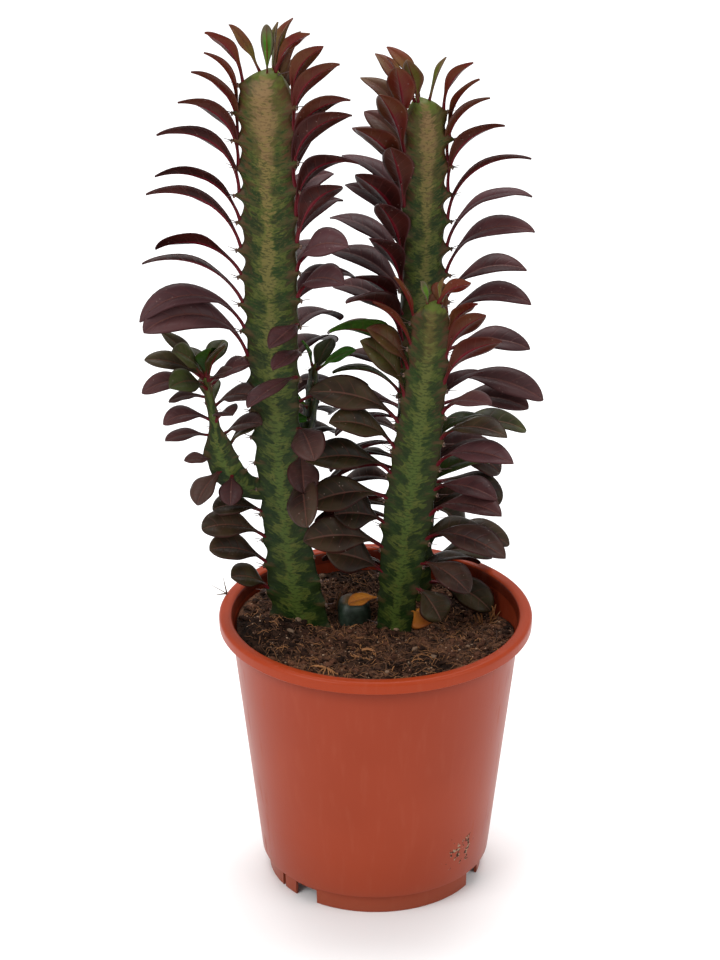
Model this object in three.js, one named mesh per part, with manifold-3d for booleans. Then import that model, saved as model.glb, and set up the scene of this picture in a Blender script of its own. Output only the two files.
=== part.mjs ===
// A potted euphorbia: three rooted cuttings with toothed ribs, leaves and spines, and an old stub, in a pot.
// Millimetres, +Z up, +X to the right, -Y to the front. The origin is the middle of the pot's foot.
import * as THREE from "three";
import { mergeVertices } from "three/addons/utils/BufferGeometryUtils.js";
import Module from "manifold-3d";

const wasm = await Module();
wasm.setup();

// Pot: a thin injection-moulded shell with a rolled rim, a stepped foot and a raised floor
const POT_HEIGHT = 155;
const RIM_RADIUS = 85;
const RIM_DROP = 6.8;
const RIM_SKIRT = 1.6;
const RIM_THICKNESS = 2;
const RIM_ROUNDING = [[0.9, 0.4], [2.6, 0]];
const RIM_TAPER = 0.2;
const LIP = [[1.4, 0.2], [-0.4, 1.4]];
const WALL_TOP_RADIUS = 78.4;
const WALL_FOOT_RADIUS = 62.7;
const WALL = 1.4;
const FOOT_HEIGHT = 11.6;
const FOOT_RADIUS = 58.9;
const FOOT_WALL = 1.6;
const FOOT_TAPER = 0.3;
const FLOOR = 1.7;
const PAD_RADIUS = 25;
const PAD_SLOPE = 6;
const PAD_STEP = 0.8;
const POT_SEGMENTS = 36;
const CUT_DEPTH = 8;
const NOTCH_WIDTH = 15;
const NOTCH_HEIGHT = 8.4;
const NOTCH_AZIMUTHS = [-130, -24, 50, 156];
const SLIT_WIDTH = 2.6;
const SLIT_AZIMUTHS = [-148, 32];
const DRAIN_RADIUS = 51;
const DRAIN_LENGTH = 9;

// Soil: fills the pot, heaped at the left and sunk behind the right
const GAP = 0.35;
const SOIL_LEVEL = 143;
const SOIL_HEAP = { height: 6, x: -62, y: 8, wide: 30, deep: 45 };
const SOIL_HOLLOW = { height: -12, x: 50, y: 36, wide: 26, deep: 30 };
const SOIL_RINGS = [0.86, 0.68, 0.45, 0.22];
const SOIL_EDGE = 0.3;
const SOIL_FOOT = 0.2;
const SOIL_SEGMENTS = 36;
const SOIL_CLODS = 1.1;
const PLUG_LENGTH = 42;

// Stems: the axis is a cubic through the air from the soil to the tip, reach is the radius at the tooth tips.
// Each rib's phase is the ring, counted from the top, of its first tooth. Jag is how deep the teeth are cut, and
// dome the length of the rounded tip.
const STEMS = {
  stem_front: {
    seed: 7,
    path: [[11.2, 5.5, 140], [16.5, 6, 204], [27.5, 6, 266], [30.5, 6, 331]],
    azimuth: 196,
    reach: 17.3,
    teeth: 13,
    phase: [2, 0, 1],
    jag: 0.7,
    dome: 6,
    girth: [[0, 0.7], [0.2, 0.86], [0.35, 1], [0.6, 1], [0.8, 0.85], [1, 0.8]],
  },
  stem_left: {
    seed: 1,
    path: [[-37.5, 13, 141], [-58, 17, 240], [-51, 18, 350], [-55.5, 18, 453]],
    azimuth: 195,
    reach: 21.7,
    teeth: 21,
    phase: [1, 0, 2],
    jag: 1,
    dome: 11,
    girth: [[0, 0.96], [0.08, 0.93], [0.16, 0.8], [0.22, 0.77], [0.4, 0.8], [0.6, 0.96], [1, 1]],
  },
  stem_right: {
    seed: 4,
    path: [[17, 47, 139], [21, 47.5, 236], [23.5, 48, 332], [23.6, 48, 428]],
    azimuth: 352,
    reach: 18.5,
    teeth: 19,
    phase: [1, 0, 2],
    jag: 1.25,
    dome: 10,
    girth: [[0, 0.85], [0.5, 0.95], [1, 1]],
  },
};
const RIBS = 3;
const RINGS_PER_TOOTH = 3;
const TOOTH_DEPTH = [[0, 0.13], [0.4, 0.15], [0.7, 0.23], [1, 0.25]];
const RIB_PROFILE = [[0, 1], [20, 0.64], [60, 0.5], [100, 0.64]];
const TIP_RADIUS = 0.42;
const TIP_CURVE = 0.6;
const TIP_RISE = 2;
const BRANCH_TIP_RISE = 1;

// Side branches of the left stem: one out of its left rib, one behind it
const BRANCHES = {
  side: {
    path: [[-58, 15, 219], [-88, 14, 226], [-83, 13, 258], [-90.5, 12, 287]],
    azimuth: 200,
    reach: 12,
    teeth: 6,
    phase: [0, 1, 2],
    jag: 0.8,
    dome: 5,
    girth: [[0, 0.5], [0.2, 0.85], [0.36, 1], [0.55, 0.9], [0.66, 0.34], [1, 0.28]],
  },
  back: {
    path: [[-46, 23, 232], [-33, 28, 250], [-35, 28, 270], [-33, 27, 287]],
    azimuth: 30,
    reach: 5.5,
    teeth: 5,
    phase: [0, 1, 2],
    jag: 1,
    dome: 5,
    girth: [[0, 0.6], [0.3, 1], [0.7, 0.9], [1, 0.6]],
  },
};
const BRANCH_NODE = "stem_left";

// Stub: the low old end of a cutting beside the front stem
const STUB = { x: -12.5, y: 12.5, radius: 9, lobe: 0.8, top: 157, bottom: 116, sides: 12 };
const STUB_FOOT_SHARE = 0.9;
const STUB_CAP = [[5, 0.97], [1.5, 0.72]];

// Leaves by age, counted in teeth from the top: millimetres and degrees
const LEAF_LENGTH = [[0, 27], [1, 36], [2, 43], [3, 49], [5, 57], [7, 60], [10, 58], [13, 51], [20, 36]];
const LEAF_WIDTH = [[0, 9], [2, 13], [5, 17], [8, 19], [14, 20], [20, 18]];
const LEAF_LIFT = [[0, 76], [2, 67], [4, 56], [6, 38], [8, 27], [10, 10], [12, -2], [14, -8], [20, -8]];
const LEAF_ARCH = [[0, 60], [2, 82], [4, 100], [7, 96], [9, 88], [11, 80], [14, 64], [20, 54]];
const LEAF_STEPS = 24;
const LEAF_STATIONS = [0, 9, 15, 21];
const LEAF_FOLD = 12;
const LEAF_THICKNESS = 0.9;
const LEAF_STALK = 0.14;
const STALK_END = 0.12;
const LEAF_BELLY = 0.64;
const POINTED_END = [1.8, 0.8];
const ROUND_END = [2.4, 0.6];
const ROUNDED_FROM = 8;
const ROUNDED_BY = 12;
const ROLLED_BY = 0.55;
const LEAF_SINK = 3.4;
const LEAF_OVER_TOOTH = 0.8;

// How the leaves of each rib stand: turned from the rib, swept round, rolled when young and when old, bent early
// where bow is under 1, the teeth that have lost theirs, and the lifts and lengths of the topmost ones
const HABITS = {
  stem_front: [
    {
      turn: -6, sweep: 4, roll: [14, -42], flip: 2, bare: [12], arch: -25, bow: 0.6,
      breadth: 1.15, size: 0.86,
      lifts: [72, 59, 58, 64, 31, 38, 25, 11, 22, 21, 16, 5],
      lengths: [28, 35, 36, 44, 55, 45, 53, 49, 30, 49, 35, 23],
    },
    {
      turn: 0, sweep: 10, roll: [-44, 24], flip: 3.3, bare: [], arch: -10, bow: 0.5, breadth: 1.04,
      lifts: [47, 61, 62, 57, 38, 32, 32, 21, 31, 21, 4, -29, 0],
      lengths: [29, 29, 46, 56, 39, 46, 56, 42, 53, 59, 38, 24, 15],
    },
    { turn: 0, sweep: 0, roll: [0, 0], bare: [], size: 0.86, lifts: [60, 60], lengths: [13, 24] },
  ],
  stem_left: [
    {
      turn: -4, sweep: 0, roll: [31, -26], flip: 8.4, bare: [11, 12, 13, 14, 15],
      lifts: [55, 64, 58, 50, 39, 32, 33, 18, 24, 9, 20, 0, 0, 0, 0, 0, 4, 11, 20, 25, 0],
      lengths: [37, 39, 48, 56, 64, 59, 66, 54, 64, 70, 72, 50, 0, 0, 0, 0, 29, 38, 36, 25, 22],
    },
    {
      turn: 8, sweep: 8, roll: [-38, 30], bare: [17, 18, 19, 20], bow: 0.8,
      lifts: [50, 67, 62, 55, 60, 48, 51, 37, 31],
      lengths: [36, 41, 53, 56, 62, 65, 60, 40, 39],
    },
    { turn: -10, sweep: -25, roll: [0, 0], bare: [17, 18, 19, 20] },
  ],
  stem_right: [
    {
      turn: 0, sweep: 0, roll: [-26, 24], flip: 5, bare: [],
      lifts: [60, 65, 61, 53, 39, 32, 30, 23, 21, 4, -9, -12, -19, -18, -2, -35],
      lengths: [33, 39, 49, 56, 65, 61, 63, 53, 59, 50, 59, 51, 52, 39, 40, 25],
    },
    {
      turn: 34, sweep: 0, roll: [-16, 0], bare: [17, 18], bow: 0.7, breadth: 1.1,
      lifts: [56, 57, 54, 50],
      lengths: [33, 42, 50],
    },
    {
      turn: -10, sweep: -8, roll: [58, 24], flip: 6, bare: [16, 18], breadth: 1.2,
      lifts: [49, 43, 34, 30, 22, 33, -15, 30, 25, 20],
      lengths: [28, 49, 45, 49, 46, 49, 46],
    },
  ],
};
const TURN_SPREAD = 9;
const SWEEP_SPREAD = 8;
const LIFT_SPREAD = 7;
const ARCH_SPREAD = 8;
const ROLL_SPREAD = 12;
const LENGTH_SPREAD = 0.08;
const WIDTH_SPREAD = 0.06;
const YOUNG_TEETH = 4;
const TURNING_TEETH = 1;

// Leaves that stand in ways of their own, some of them across the front of the left stem: rib/tooth from the top
const POSED_LEAVES = {
  stem_front: {
    "0/11": { lift: -8, arch: 20, roll: -12, length: 19, width: 12 },
  },
  stem_left: {
    "0/9": { arch: 122 },
    "0/10": { arch: 112, roll: -32, width: 24 },
    "1/5": { roll: -30 },
    "1/6": { azimuth: 308, sweep: 0, arch: 60, roll: -24 },
    "1/9": { azimuth: 262, sweep: -40, lift: -1, arch: 50, roll: -10, length: 33, width: 14 },
    "1/10": { azimuth: 270, sweep: -45, lift: 5, arch: 50, roll: 0, length: 34, width: 14 },
    "1/11": { azimuth: 246, sweep: -30, lift: -3, arch: 50, roll: 4, length: 43, width: 16 },
    "1/12": { azimuth: 335, sweep: 0, lift: 10, arch: 40, roll: 10, length: 41, width: 15 },
    "1/13": { azimuth: 305, sweep: 0, lift: -2, arch: 50, roll: 20, length: 38, width: 19 },
    "1/14": { azimuth: 276, sweep: 0, lift: -20, arch: 60, roll: -10, length: 30, width: 18 },
  },
  stem_right: {
    "0/9": { arch: 62 },
    "0/10": { arch: 52 },
    "0/11": { arch: 55 },
    "0/12": { arch: 55 },
    "2/0": { azimuth: 244, sweep: 0, lift: 74, arch: 20, roll: 10, length: 36, width: 16 },
    "2/1": { azimuth: 228, sweep: 0, lift: 62, arch: 30, roll: 20, length: 42, width: 17 },
    "2/2": { azimuth: 217, sweep: 0, lift: 48, arch: 40, roll: 25, length: 48, width: 21 },
    "2/3": { azimuth: 246, sweep: 0, lift: 66, arch: 30, roll: 5, length: 43, width: 18 },
    "2/4": { azimuth: 217, sweep: 0, lift: 52, arch: 40, roll: 25, length: 52, width: 23 },
    "2/5": { azimuth: 236, sweep: 0, lift: 60, arch: 40, roll: 10, length: 46, width: 20 },
    "2/6": { azimuth: 228, sweep: 0, lift: 54, arch: 50, roll: 10, length: 45, width: 20 },
    "2/7": { azimuth: 218, sweep: 0, lift: 43, arch: 50, roll: 20, length: 44, width: 19 },
  },
};

// The upright young leaves at each tip: azimuth, length, width, lift
const CROWNS = {
  stem_front: [[200, 16, 5, 74], [340, 17, 5, 86], [10, 14, 4, 71]],
  stem_left: [[262, 28, 7, 90], [350, 31, 8, 74], [20, 28, 8, 86], [184, 32, 8, 59], [335, 26, 9, 60]],
  stem_right: [[240, 31, 12, 66], [215, 28, 11, 52], [350, 28, 7, 71], [170, 29, 9, 58]],
};
const CROWN_RADIUS = 3.5;
const CROWN_SINK = 1.5;
const CROWN_ARCH = 20;

// The branches' leaves: place along the branch, azimuth, sweep, lift, arch, roll, length, width
const BRANCH_LEAVES = {
  side: [
    [0.98, 184, 0, 21, 50, -35, 35, 12],
    [1, 215, 0, 46, 40, -45, 28, 15],
    [1, 300, 0, 72, 40, 0, 20, 14],
    [0.95, 190, 0, -5, 60, -30, 36, 13],
    [0.92, 230, 0, 19, 60, -40, 32, 16],
    [0.86, 186, 0, -5, 50, -20, 22, 8],
    [0.7, 190, 0, 0, 80, -25, 29, 13],
    [0.6, 196, 0, 0, 40, -20, 27, 10],
    [0.42, 204, 0, 8, 20, -30, 20, 8],
    [0.34, 224, 0, -38, 50, 0, 26, 17.5],
    [0.3, 268, 0, -38, 50, 0, 20, 13.5],
    [0.8, 330, 0, 23, 60, 25, 31, 15],
    [0.97, 340, 0, 27, 40, 20, 17, 10],
    [1, 172, 0, 47, 30, -20, 33, 11],
    [1, 60, 0, 37, 40, 0, 24, 13],
    [0.75, 100, 0, 20, 50, 0, 30, 13],
    [0.9, 130, 0, 40, 50, 0, 30, 14],
  ],
  back: [
    [1, 200, 0, 70, 30, 0, 17, 7],
    [0.95, 350, 0, 32, 20, 30, 26, 9],
    [0.55, 215, 0, 33, 50, -40, 21, 10],
    [0.45, 240, 0, 15, 50, -30, 15, 10],
    [0.7, 345, 0, -3, 50, 30, 18, 11],
    [0.85, 60, 0, 40, 50, 0, 26, 12],
  ],
};
const BRANCH_LEAF_ROOT = 0.35;
const BRANCH_LEAF_AGE = 10;

// A leaf that would cross another stem's leaves, a stem, the soil or the rim is turned, lifted or shortened
const CLEAR_OF_LEAF = 4.6;
const CLEAR_OF_STEM = 1.5;
const CLEAR_OF_SOIL = 1.5;
const RIM_INSIDE = 74;
const RIM_OUTSIDE = 88;
const RIM_CLEAR_HEIGHT = 157;
const TRY_SIZES = [1, 0.8, 0.62];
const TRY_TURNS = [0, 10, -10, 20, -20, 30, -30, 42, -42, 55, -55];
const TRY_LIFTS = [0, 14, -14];
const SAMPLES_ACROSS = 7;
const SAMPLE_EVERY = 2;
const STALK_SAMPLES = 2;
const AXIS_SAMPLES = 40;

// Spines: a spread pair on the tip of every third tooth
const SPINE_LENGTH = 6;
const SPINE_RADIUS = 0.6;
const SPINE_SINK = 1.6;
const SPINE_SPREAD = 32;
const SPINE_RISE = 0.15;
const SPINE_EVERY = 3;
const SPINES_ABOVE = 0.2;

const COLOURS = {
  pot: 0xa4512f,
  soil: 0x3b2a22,
  stem_front: 0x4d6132,
  stem_left: 0x55662f,
  stem_right: 0x556036,
  stub: 0x2f4a3f,
};

// Small vector helpers
function add(a, b, k = 1) {
  return [a[0] + b[0] * k, a[1] + b[1] * k, a[2] + b[2] * k];
}

function dot(a, b) {
  return a[0] * b[0] + a[1] * b[1] + a[2] * b[2];
}

function cross(a, b) {
  return [a[1] * b[2] - a[2] * b[1], a[2] * b[0] - a[0] * b[2], a[0] * b[1] - a[1] * b[0]];
}

function unit(a) {
  return add([0, 0, 0], a, 1 / Math.hypot(...a));
}

function radians(degrees) {
  return (degrees * Math.PI) / 180;
}

function level(azimuth) {
  return [Math.cos(radians(azimuth)), Math.sin(radians(azimuth)), 0];
}

function clamp(x) {
  return Math.min(1, Math.max(0, x));
}

function easeInOut(x) {
  return clamp(x) ** 2 * (3 - 2 * clamp(x));
}

// The value at x of a line through hand-set [x, value] pairs
function keyed(pairs, x) {
  if (x <= pairs[0][0]) return pairs[0][1];
  for (let i = 1; i < pairs.length; i++) {
    const [x0, y0] = pairs[i - 1];
    const [x1, y1] = pairs[i];
    if (x <= x1) return y0 + ((y1 - y0) * (x - x0)) / (x1 - x0);
  }
  return pairs[pairs.length - 1][1];
}

// A repeatable draw between -1 and 1
function jitter(a, b) {
  const v = Math.sin(a * 12.9898 + b * 78.233) * 43758.5453;
  return 2 * (v - Math.floor(v)) - 1;
}

// Solids and geometries
function solidOf(geometry) {
  const bare = geometry.clone();
  bare.deleteAttribute("normal");
  bare.deleteAttribute("uv");
  const merged = mergeVertices(bare, 1e-4);
  const corners = merged.index.array;
  const kept = [];
  for (let i = 0; i < corners.length; i += 3) {
    const [a, b, c] = [corners[i], corners[i + 1], corners[i + 2]];
    if (a !== b && b !== c && a !== c) kept.push(a, b, c);
  }
  const vertProperties = merged.attributes.position.array;
  return new wasm.Manifold(new wasm.Mesh({ numProp: 3, vertProperties, triVerts: new Uint32Array(kept) }));
}

// The largest body of a solid, without loose scraps and without sealed hollows
function mainBody(solid) {
  return solid.decompose().reduce((best, body) => (body.volume() > best.volume() ? body : best));
}

function geometryOf(solid) {
  const { vertProperties, triVerts } = mainBody(solid).getMesh();
  return new THREE.BufferGeometry()
    .setAttribute("position", new THREE.BufferAttribute(vertProperties, 3))
    .setIndex(new THREE.BufferAttribute(triVerts, 1));
}

// A closed skin over rings of equal count, turning anticlockwise about their direction of travel
function loft(rings, start, end) {
  const count = rings[0].length;
  const corners = [start, ...rings.flat(), end];
  const last = corners.length - 1;
  const at = (ring, i) => 1 + ring * count + (i % count);
  const faces = [];
  for (let i = 0; i < count; i++) {
    faces.push(0, at(0, i + 1), at(0, i));
    for (let ring = 0; ring < rings.length - 1; ring++) {
      faces.push(at(ring, i), at(ring, i + 1), at(ring + 1, i + 1));
      faces.push(at(ring, i), at(ring + 1, i + 1), at(ring + 1, i));
    }
    faces.push(last, at(rings.length - 1, i), at(rings.length - 1, i + 1));
  }
  return new THREE.BufferGeometry()
    .setAttribute("position", new THREE.BufferAttribute(new Float32Array(corners.flat()), 3))
    .setIndex(faces);
}

function middle(ring) {
  return ring.reduce((sum, p) => add(sum, p, 1 / ring.length), [0, 0, 0]);
}

// A solid turned about Z from a profile of [radius, height] points
function turned(profile, segments) {
  const points = profile.map(([radius, height]) => new THREE.Vector2(radius, height));
  return new THREE.LatheGeometry(points, segments).rotateX(Math.PI / 2);
}

function box(length, width, height, azimuth, radius, z) {
  const shape = new THREE.BoxGeometry(length, width, height);
  shape.translate(radius, 0, z);
  return shape.rotateZ(radians(azimuth));
}

// Pot
function innerWallRadius(z) {
  const share = (z - FOOT_HEIGHT) / (POT_HEIGHT - RIM_DROP - FOOT_HEIGHT);
  return WALL_FOOT_RADIUS - WALL + (WALL_TOP_RADIUS - WALL_FOOT_RADIUS) * share;
}

function potProfile() {
  const skirt = POT_HEIGHT - RIM_DROP;
  const floorTop = FOOT_HEIGHT + FLOOR;
  return [
    [0, 0],
    [PAD_RADIUS, 0],
    [PAD_RADIUS + PAD_SLOPE, FOOT_HEIGHT],
    [FOOT_RADIUS - FOOT_WALL, FOOT_HEIGHT],
    [FOOT_RADIUS - FOOT_WALL, 0],
    [FOOT_RADIUS, 0],
    [FOOT_RADIUS + FOOT_TAPER, FOOT_HEIGHT],
    [WALL_FOOT_RADIUS, FOOT_HEIGHT],
    [WALL_TOP_RADIUS, skirt],
    [WALL_TOP_RADIUS, POT_HEIGHT - RIM_THICKNESS],
    [RIM_RADIUS - RIM_SKIRT, POT_HEIGHT - RIM_THICKNESS],
    [RIM_RADIUS - RIM_SKIRT, skirt],
    [RIM_RADIUS - RIM_TAPER, skirt],
    [RIM_RADIUS, POT_HEIGHT - RIM_THICKNESS],
    ...RIM_ROUNDING.map(([inward, down]) => [RIM_RADIUS - inward, POT_HEIGHT - down]),
    ...LIP.map(([outward, down]) => [WALL_TOP_RADIUS + outward, POT_HEIGHT - down]),
    [innerWallRadius(skirt), skirt],
    [innerWallRadius(floorTop), floorTop],
    [PAD_RADIUS + PAD_SLOPE + PAD_STEP, floorTop],
    [PAD_RADIUS + PAD_STEP, FLOOR],
    [0, FLOOR],
  ];
}

function potGeometry() {
  const cuts = [];
  for (const azimuth of NOTCH_AZIMUTHS) {
    cuts.push(box(CUT_DEPTH, NOTCH_WIDTH, 2 * NOTCH_HEIGHT, azimuth, FOOT_RADIUS, 0));
    cuts.push(box(DRAIN_LENGTH, NOTCH_WIDTH, CUT_DEPTH, azimuth, DRAIN_RADIUS, FOOT_HEIGHT));
  }
  for (const azimuth of SLIT_AZIMUTHS) {
    cuts.push(box(CUT_DEPTH, SLIT_WIDTH, 2 * NOTCH_HEIGHT, azimuth, FOOT_RADIUS, 0));
  }
  const shell = solidOf(turned(potProfile(), POT_SEGMENTS));
  return geometryOf(cuts.reduce((pot, cut) => pot.subtract(solidOf(cut)), shell));
}

// Soil
function swell({ height, x, y, wide, deep }, px, py) {
  return height * Math.exp(-(((px - x) / wide) ** 2 + ((py - y) / deep) ** 2));
}

function soilTop(x, y) {
  return SOIL_LEVEL + swell(SOIL_HEAP, x, y) + swell(SOIL_HOLLOW, x, y);
}

function soilGeometry() {
  const floorTop = FOOT_HEIGHT + FLOOR + GAP;
  const ring = (radiusAt, heightAt) =>
    Array.from({ length: SOIL_SEGMENTS }, (_, i) => {
      const out = level((360 * i) / SOIL_SEGMENTS);
      const [x, y] = out.map((v) => v * radiusAt);
      return [x, y, heightAt(x, y)];
    });
  const bottom = FLOOR + GAP;
  const rings = [
    ring(PAD_RADIUS - SOIL_FOOT, () => bottom),
    ring(PAD_RADIUS + PAD_SLOPE - SOIL_FOOT, () => floorTop),
    ring(innerWallRadius(floorTop) - GAP, () => floorTop),
  ];
  // The top edge is at the height where the wall is met, so it is a little narrower where the soil is low
  const edge = Array.from({ length: SOIL_SEGMENTS }, (_, i) => {
    const out = level((360 * i) / SOIL_SEGMENTS);
    const height = soilTop(out[0] * WALL_TOP_RADIUS, out[1] * WALL_TOP_RADIUS);
    const radius = innerWallRadius(height) - GAP - SOIL_EDGE;
    return [out[0] * radius, out[1] * radius, height];
  });
  rings.push(edge);
  for (const share of SOIL_RINGS) {
    const radius = share * (innerWallRadius(SOIL_LEVEL) - GAP);
    rings.push(ring(radius, (x, y) => soilTop(x, y) + SOIL_CLODS * jitter(Math.round(x), Math.round(y))));
  }
  const filled = solidOf(loft(rings, [0, 0, bottom], [0, 0, soilTop(0, 0)]));
  const holes = [...Object.values(STEMS).map(holeOf), stubSolid(GAP)];
  return geometryOf(holes.reduce((soil, hole) => soil.subtract(hole), filled));
}

// Stems
function axisPoint(path, t) {
  const s = 1 - t;
  const weights = [s ** 3, 3 * s * s * t, 3 * s * t * t, t ** 3];
  return path.reduce((sum, p, i) => add(sum, p, weights[i]), [0, 0, 0]);
}

function axisSlope(path, t) {
  const s = 1 - t;
  const weights = [s * s, 2 * s * t, t * t];
  const steps = [0, 1, 2].map((i) => add(path[i + 1], path[i], -1));
  return unit(steps.reduce((sum, p, i) => add(sum, p, weights[i]), [0, 0, 0]));
}

function stemLength(stem) {
  const points = Array.from({ length: 25 }, (_, i) => axisPoint(stem.path, i / 24));
  return points.slice(1).reduce((sum, p, i) => sum + Math.hypot(...add(p, points[i], -1)), 0);
}

// The centre, the axis, the first rib's direction and the direction a quarter turn on
function stemFrame(stem, s) {
  const axis = axisSlope(stem.path, s);
  const rib = level(stem.azimuth);
  const out = unit(add(rib, axis, -dot(rib, axis)));
  return { centre: axisPoint(stem.path, s), axis, out, across: cross(axis, out) };
}

function aroundStem({ centre, out, across }, degrees, radius) {
  const turn = radians(degrees);
  return add(add(centre, out, radius * Math.cos(turn)), across, radius * Math.sin(turn));
}

// The radius at the tooth tips, rounded in over the last few millimetres
function toothReach(stem, s) {
  const depth = clamp(((1 - s) * stemLength(stem)) / stem.dome);
  return stem.reach * keyed(stem.girth, s) * (TIP_RADIUS + (1 - TIP_RADIUS) * depth ** TIP_CURVE);
}

// A tooth of one rib stands between the teeth of the next, a third of their spacing on
function hasTooth(stem, ring, rib) {
  return (stem.teeth * RINGS_PER_TOOTH - ring) % RINGS_PER_TOOTH === stem.phase[rib];
}

function stemRing(stem, ring, grow = 0, allTeeth = false) {
  const s = ring / (stem.teeth * RINGS_PER_TOOTH);
  const frame = stemFrame(stem, s);
  const reach = toothReach(stem, s);
  const points = [];
  for (let rib = 0; rib < RIBS; rib++) {
    for (const [degrees, share] of RIB_PROFILE) {
      const valley = degrees === 0 && !hasTooth(stem, ring, rib) && !allTeeth;
      const radius = reach * share * (valley ? 1 - stem.jag * keyed(TOOTH_DEPTH, s) : 1);
      points.push(aroundStem(frame, (360 / RIBS) * rib + degrees, radius + grow));
    }
  }
  return points;
}

// The buried end: the lowest ring carried straight down into the soil
function plugRing(stem, length, grow = 0) {
  const axis = axisSlope(stem.path, 0);
  return stemRing(stem, 0, grow, true).map((p) => add(p, axis, -length));
}

function stemSolid(stem) {
  const rings = [plugRing(stem, PLUG_LENGTH)];
  for (let ring = 0; ring <= stem.teeth * RINGS_PER_TOOTH; ring++) rings.push(stemRing(stem, ring));
  const { centre, axis } = stemFrame(stem, 1);
  return solidOf(loft(rings, middle(rings[0]), add(centre, axis, TIP_RISE)));
}

function branchSolid(branch) {
  const rings = [];
  for (let ring = 0; ring <= branch.teeth * RINGS_PER_TOOTH; ring++) rings.push(stemRing(branch, ring));
  const { centre, axis } = stemFrame(branch, 1);
  return solidOf(loft(rings, middle(rings[0]), add(centre, axis, BRANCH_TIP_RISE)));
}

// The hole that a stem stands in: its own outline at the tooth tips, a little larger, to above the soil
function holeOf(stem) {
  const rings = [plugRing(stem, PLUG_LENGTH + GAP, GAP), stemRing(stem, 0, GAP, true)];
  for (const ring of [2, 4]) rings.push(stemRing(stem, ring, GAP, true));
  return solidOf(loft(rings, middle(rings[0]), middle(rings[rings.length - 1])));
}

function stubSolid(grow = 0) {
  const ring = (z, share) =>
    Array.from({ length: STUB.sides }, (_, i) => {
      const out = level((360 * i) / STUB.sides);
      const lobed = STUB.radius + STUB.lobe * Math.cos(radians((1080 * i) / STUB.sides));
      return [STUB.x + out[0] * (lobed * share + grow), STUB.y + out[1] * (lobed * share + grow), z];
    });
  const cap = STUB_CAP.map(([down, share]) => ring(STUB.top - down, share));
  const rings = [ring(STUB.bottom - grow, STUB_FOOT_SHARE), ring(SOIL_LEVEL, 1), ...cap];
  return solidOf(loft(rings, middle(rings[0]), [STUB.x, STUB.y, STUB.top + grow]));
}

// Teeth from the top down, by rib
function teethOf(stem, rib) {
  const places = [];
  for (let ring = stem.teeth * RINGS_PER_TOOTH; ring > 0; ring--) {
    if (hasTooth(stem, ring, rib)) places.push(ring / (stem.teeth * RINGS_PER_TOOTH));
  }
  return places;
}

// Leaves
function ribLeaf(name, stem, rib, k, s) {
  const habit = HABITS[name][rib];
  const draw = (n) => jitter(stem.seed + rib, k * 7 + n);
  const age = (1 - s) * stem.teeth;
  const old = clamp((age - (habit.flip ?? YOUNG_TEETH)) / TURNING_TEETH);
  const frame = stemFrame(stem, s);
  const tooth = aroundStem(frame, (360 / RIBS) * rib, toothReach(stem, s) - LEAF_SINK);
  const [young, aged] = habit.roll;
  return {
    root: add(tooth, frame.axis, LEAF_OVER_TOOTH),
    azimuth: stem.azimuth + (360 / RIBS) * rib + habit.turn + TURN_SPREAD * draw(0),
    sweep: habit.sweep + SWEEP_SPREAD * draw(1),
    lift: habit.lifts?.[k] ?? keyed(LEAF_LIFT, age) + LIFT_SPREAD * draw(2),
    arch: keyed(LEAF_ARCH, age) + (habit.arch ?? 0) + ARCH_SPREAD * draw(3),
    roll: young + (aged - young) * old + ROLL_SPREAD * draw(4),
    bow: habit.bow ?? 1,
    age,
    length: habit.lengths?.[k] ?? (habit.size ?? 1) * keyed(LEAF_LENGTH, age) * (1 + LENGTH_SPREAD * draw(5)),
    width: (habit.breadth ?? 1) * keyed(LEAF_WIDTH, age) * (1 + WIDTH_SPREAD * draw(6)),
    ...POSED_LEAVES[name]?.[rib + "/" + k],
  };
}

function crownLeaves(name, stem) {
  const { centre, axis } = stemFrame(stem, 1);
  return CROWNS[name].map(([azimuth, length, width, lift]) => ({
    root: add(add(centre, level(azimuth), CROWN_RADIUS), axis, -CROWN_SINK),
    azimuth, sweep: 0, lift, arch: CROWN_ARCH, roll: 0, bow: 1, length, width, age: 0,
  }));
}

function branchLeaves(branchName) {
  const branch = BRANCHES[branchName];
  return BRANCH_LEAVES[branchName].map(([s, azimuth, sweep, lift, arch, roll, length, width]) => {
    const radius = BRANCH_LEAF_ROOT * branch.reach * keyed(branch.girth, s);
    const root = add(stemFrame(branch, s).centre, level(azimuth), radius);
    return { root, azimuth, sweep, lift, arch, roll, bow: 1, length, width, age: BRANCH_LEAF_AGE };
  });
}

function leavesOf(name) {
  const stem = STEMS[name];
  const leaves = [];
  for (let rib = 0; rib < RIBS; rib++) {
    teethOf(stem, rib).forEach((s, k) => {
      if (!HABITS[name][rib].bare.includes(k)) leaves.push(ribLeaf(name, stem, rib, k, s));
    });
  }
  leaves.push(...crownLeaves(name, stem));
  if (name === BRANCH_NODE) leaves.push(...Object.keys(BRANCHES).flatMap(branchLeaves));
  return leaves;
}

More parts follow.
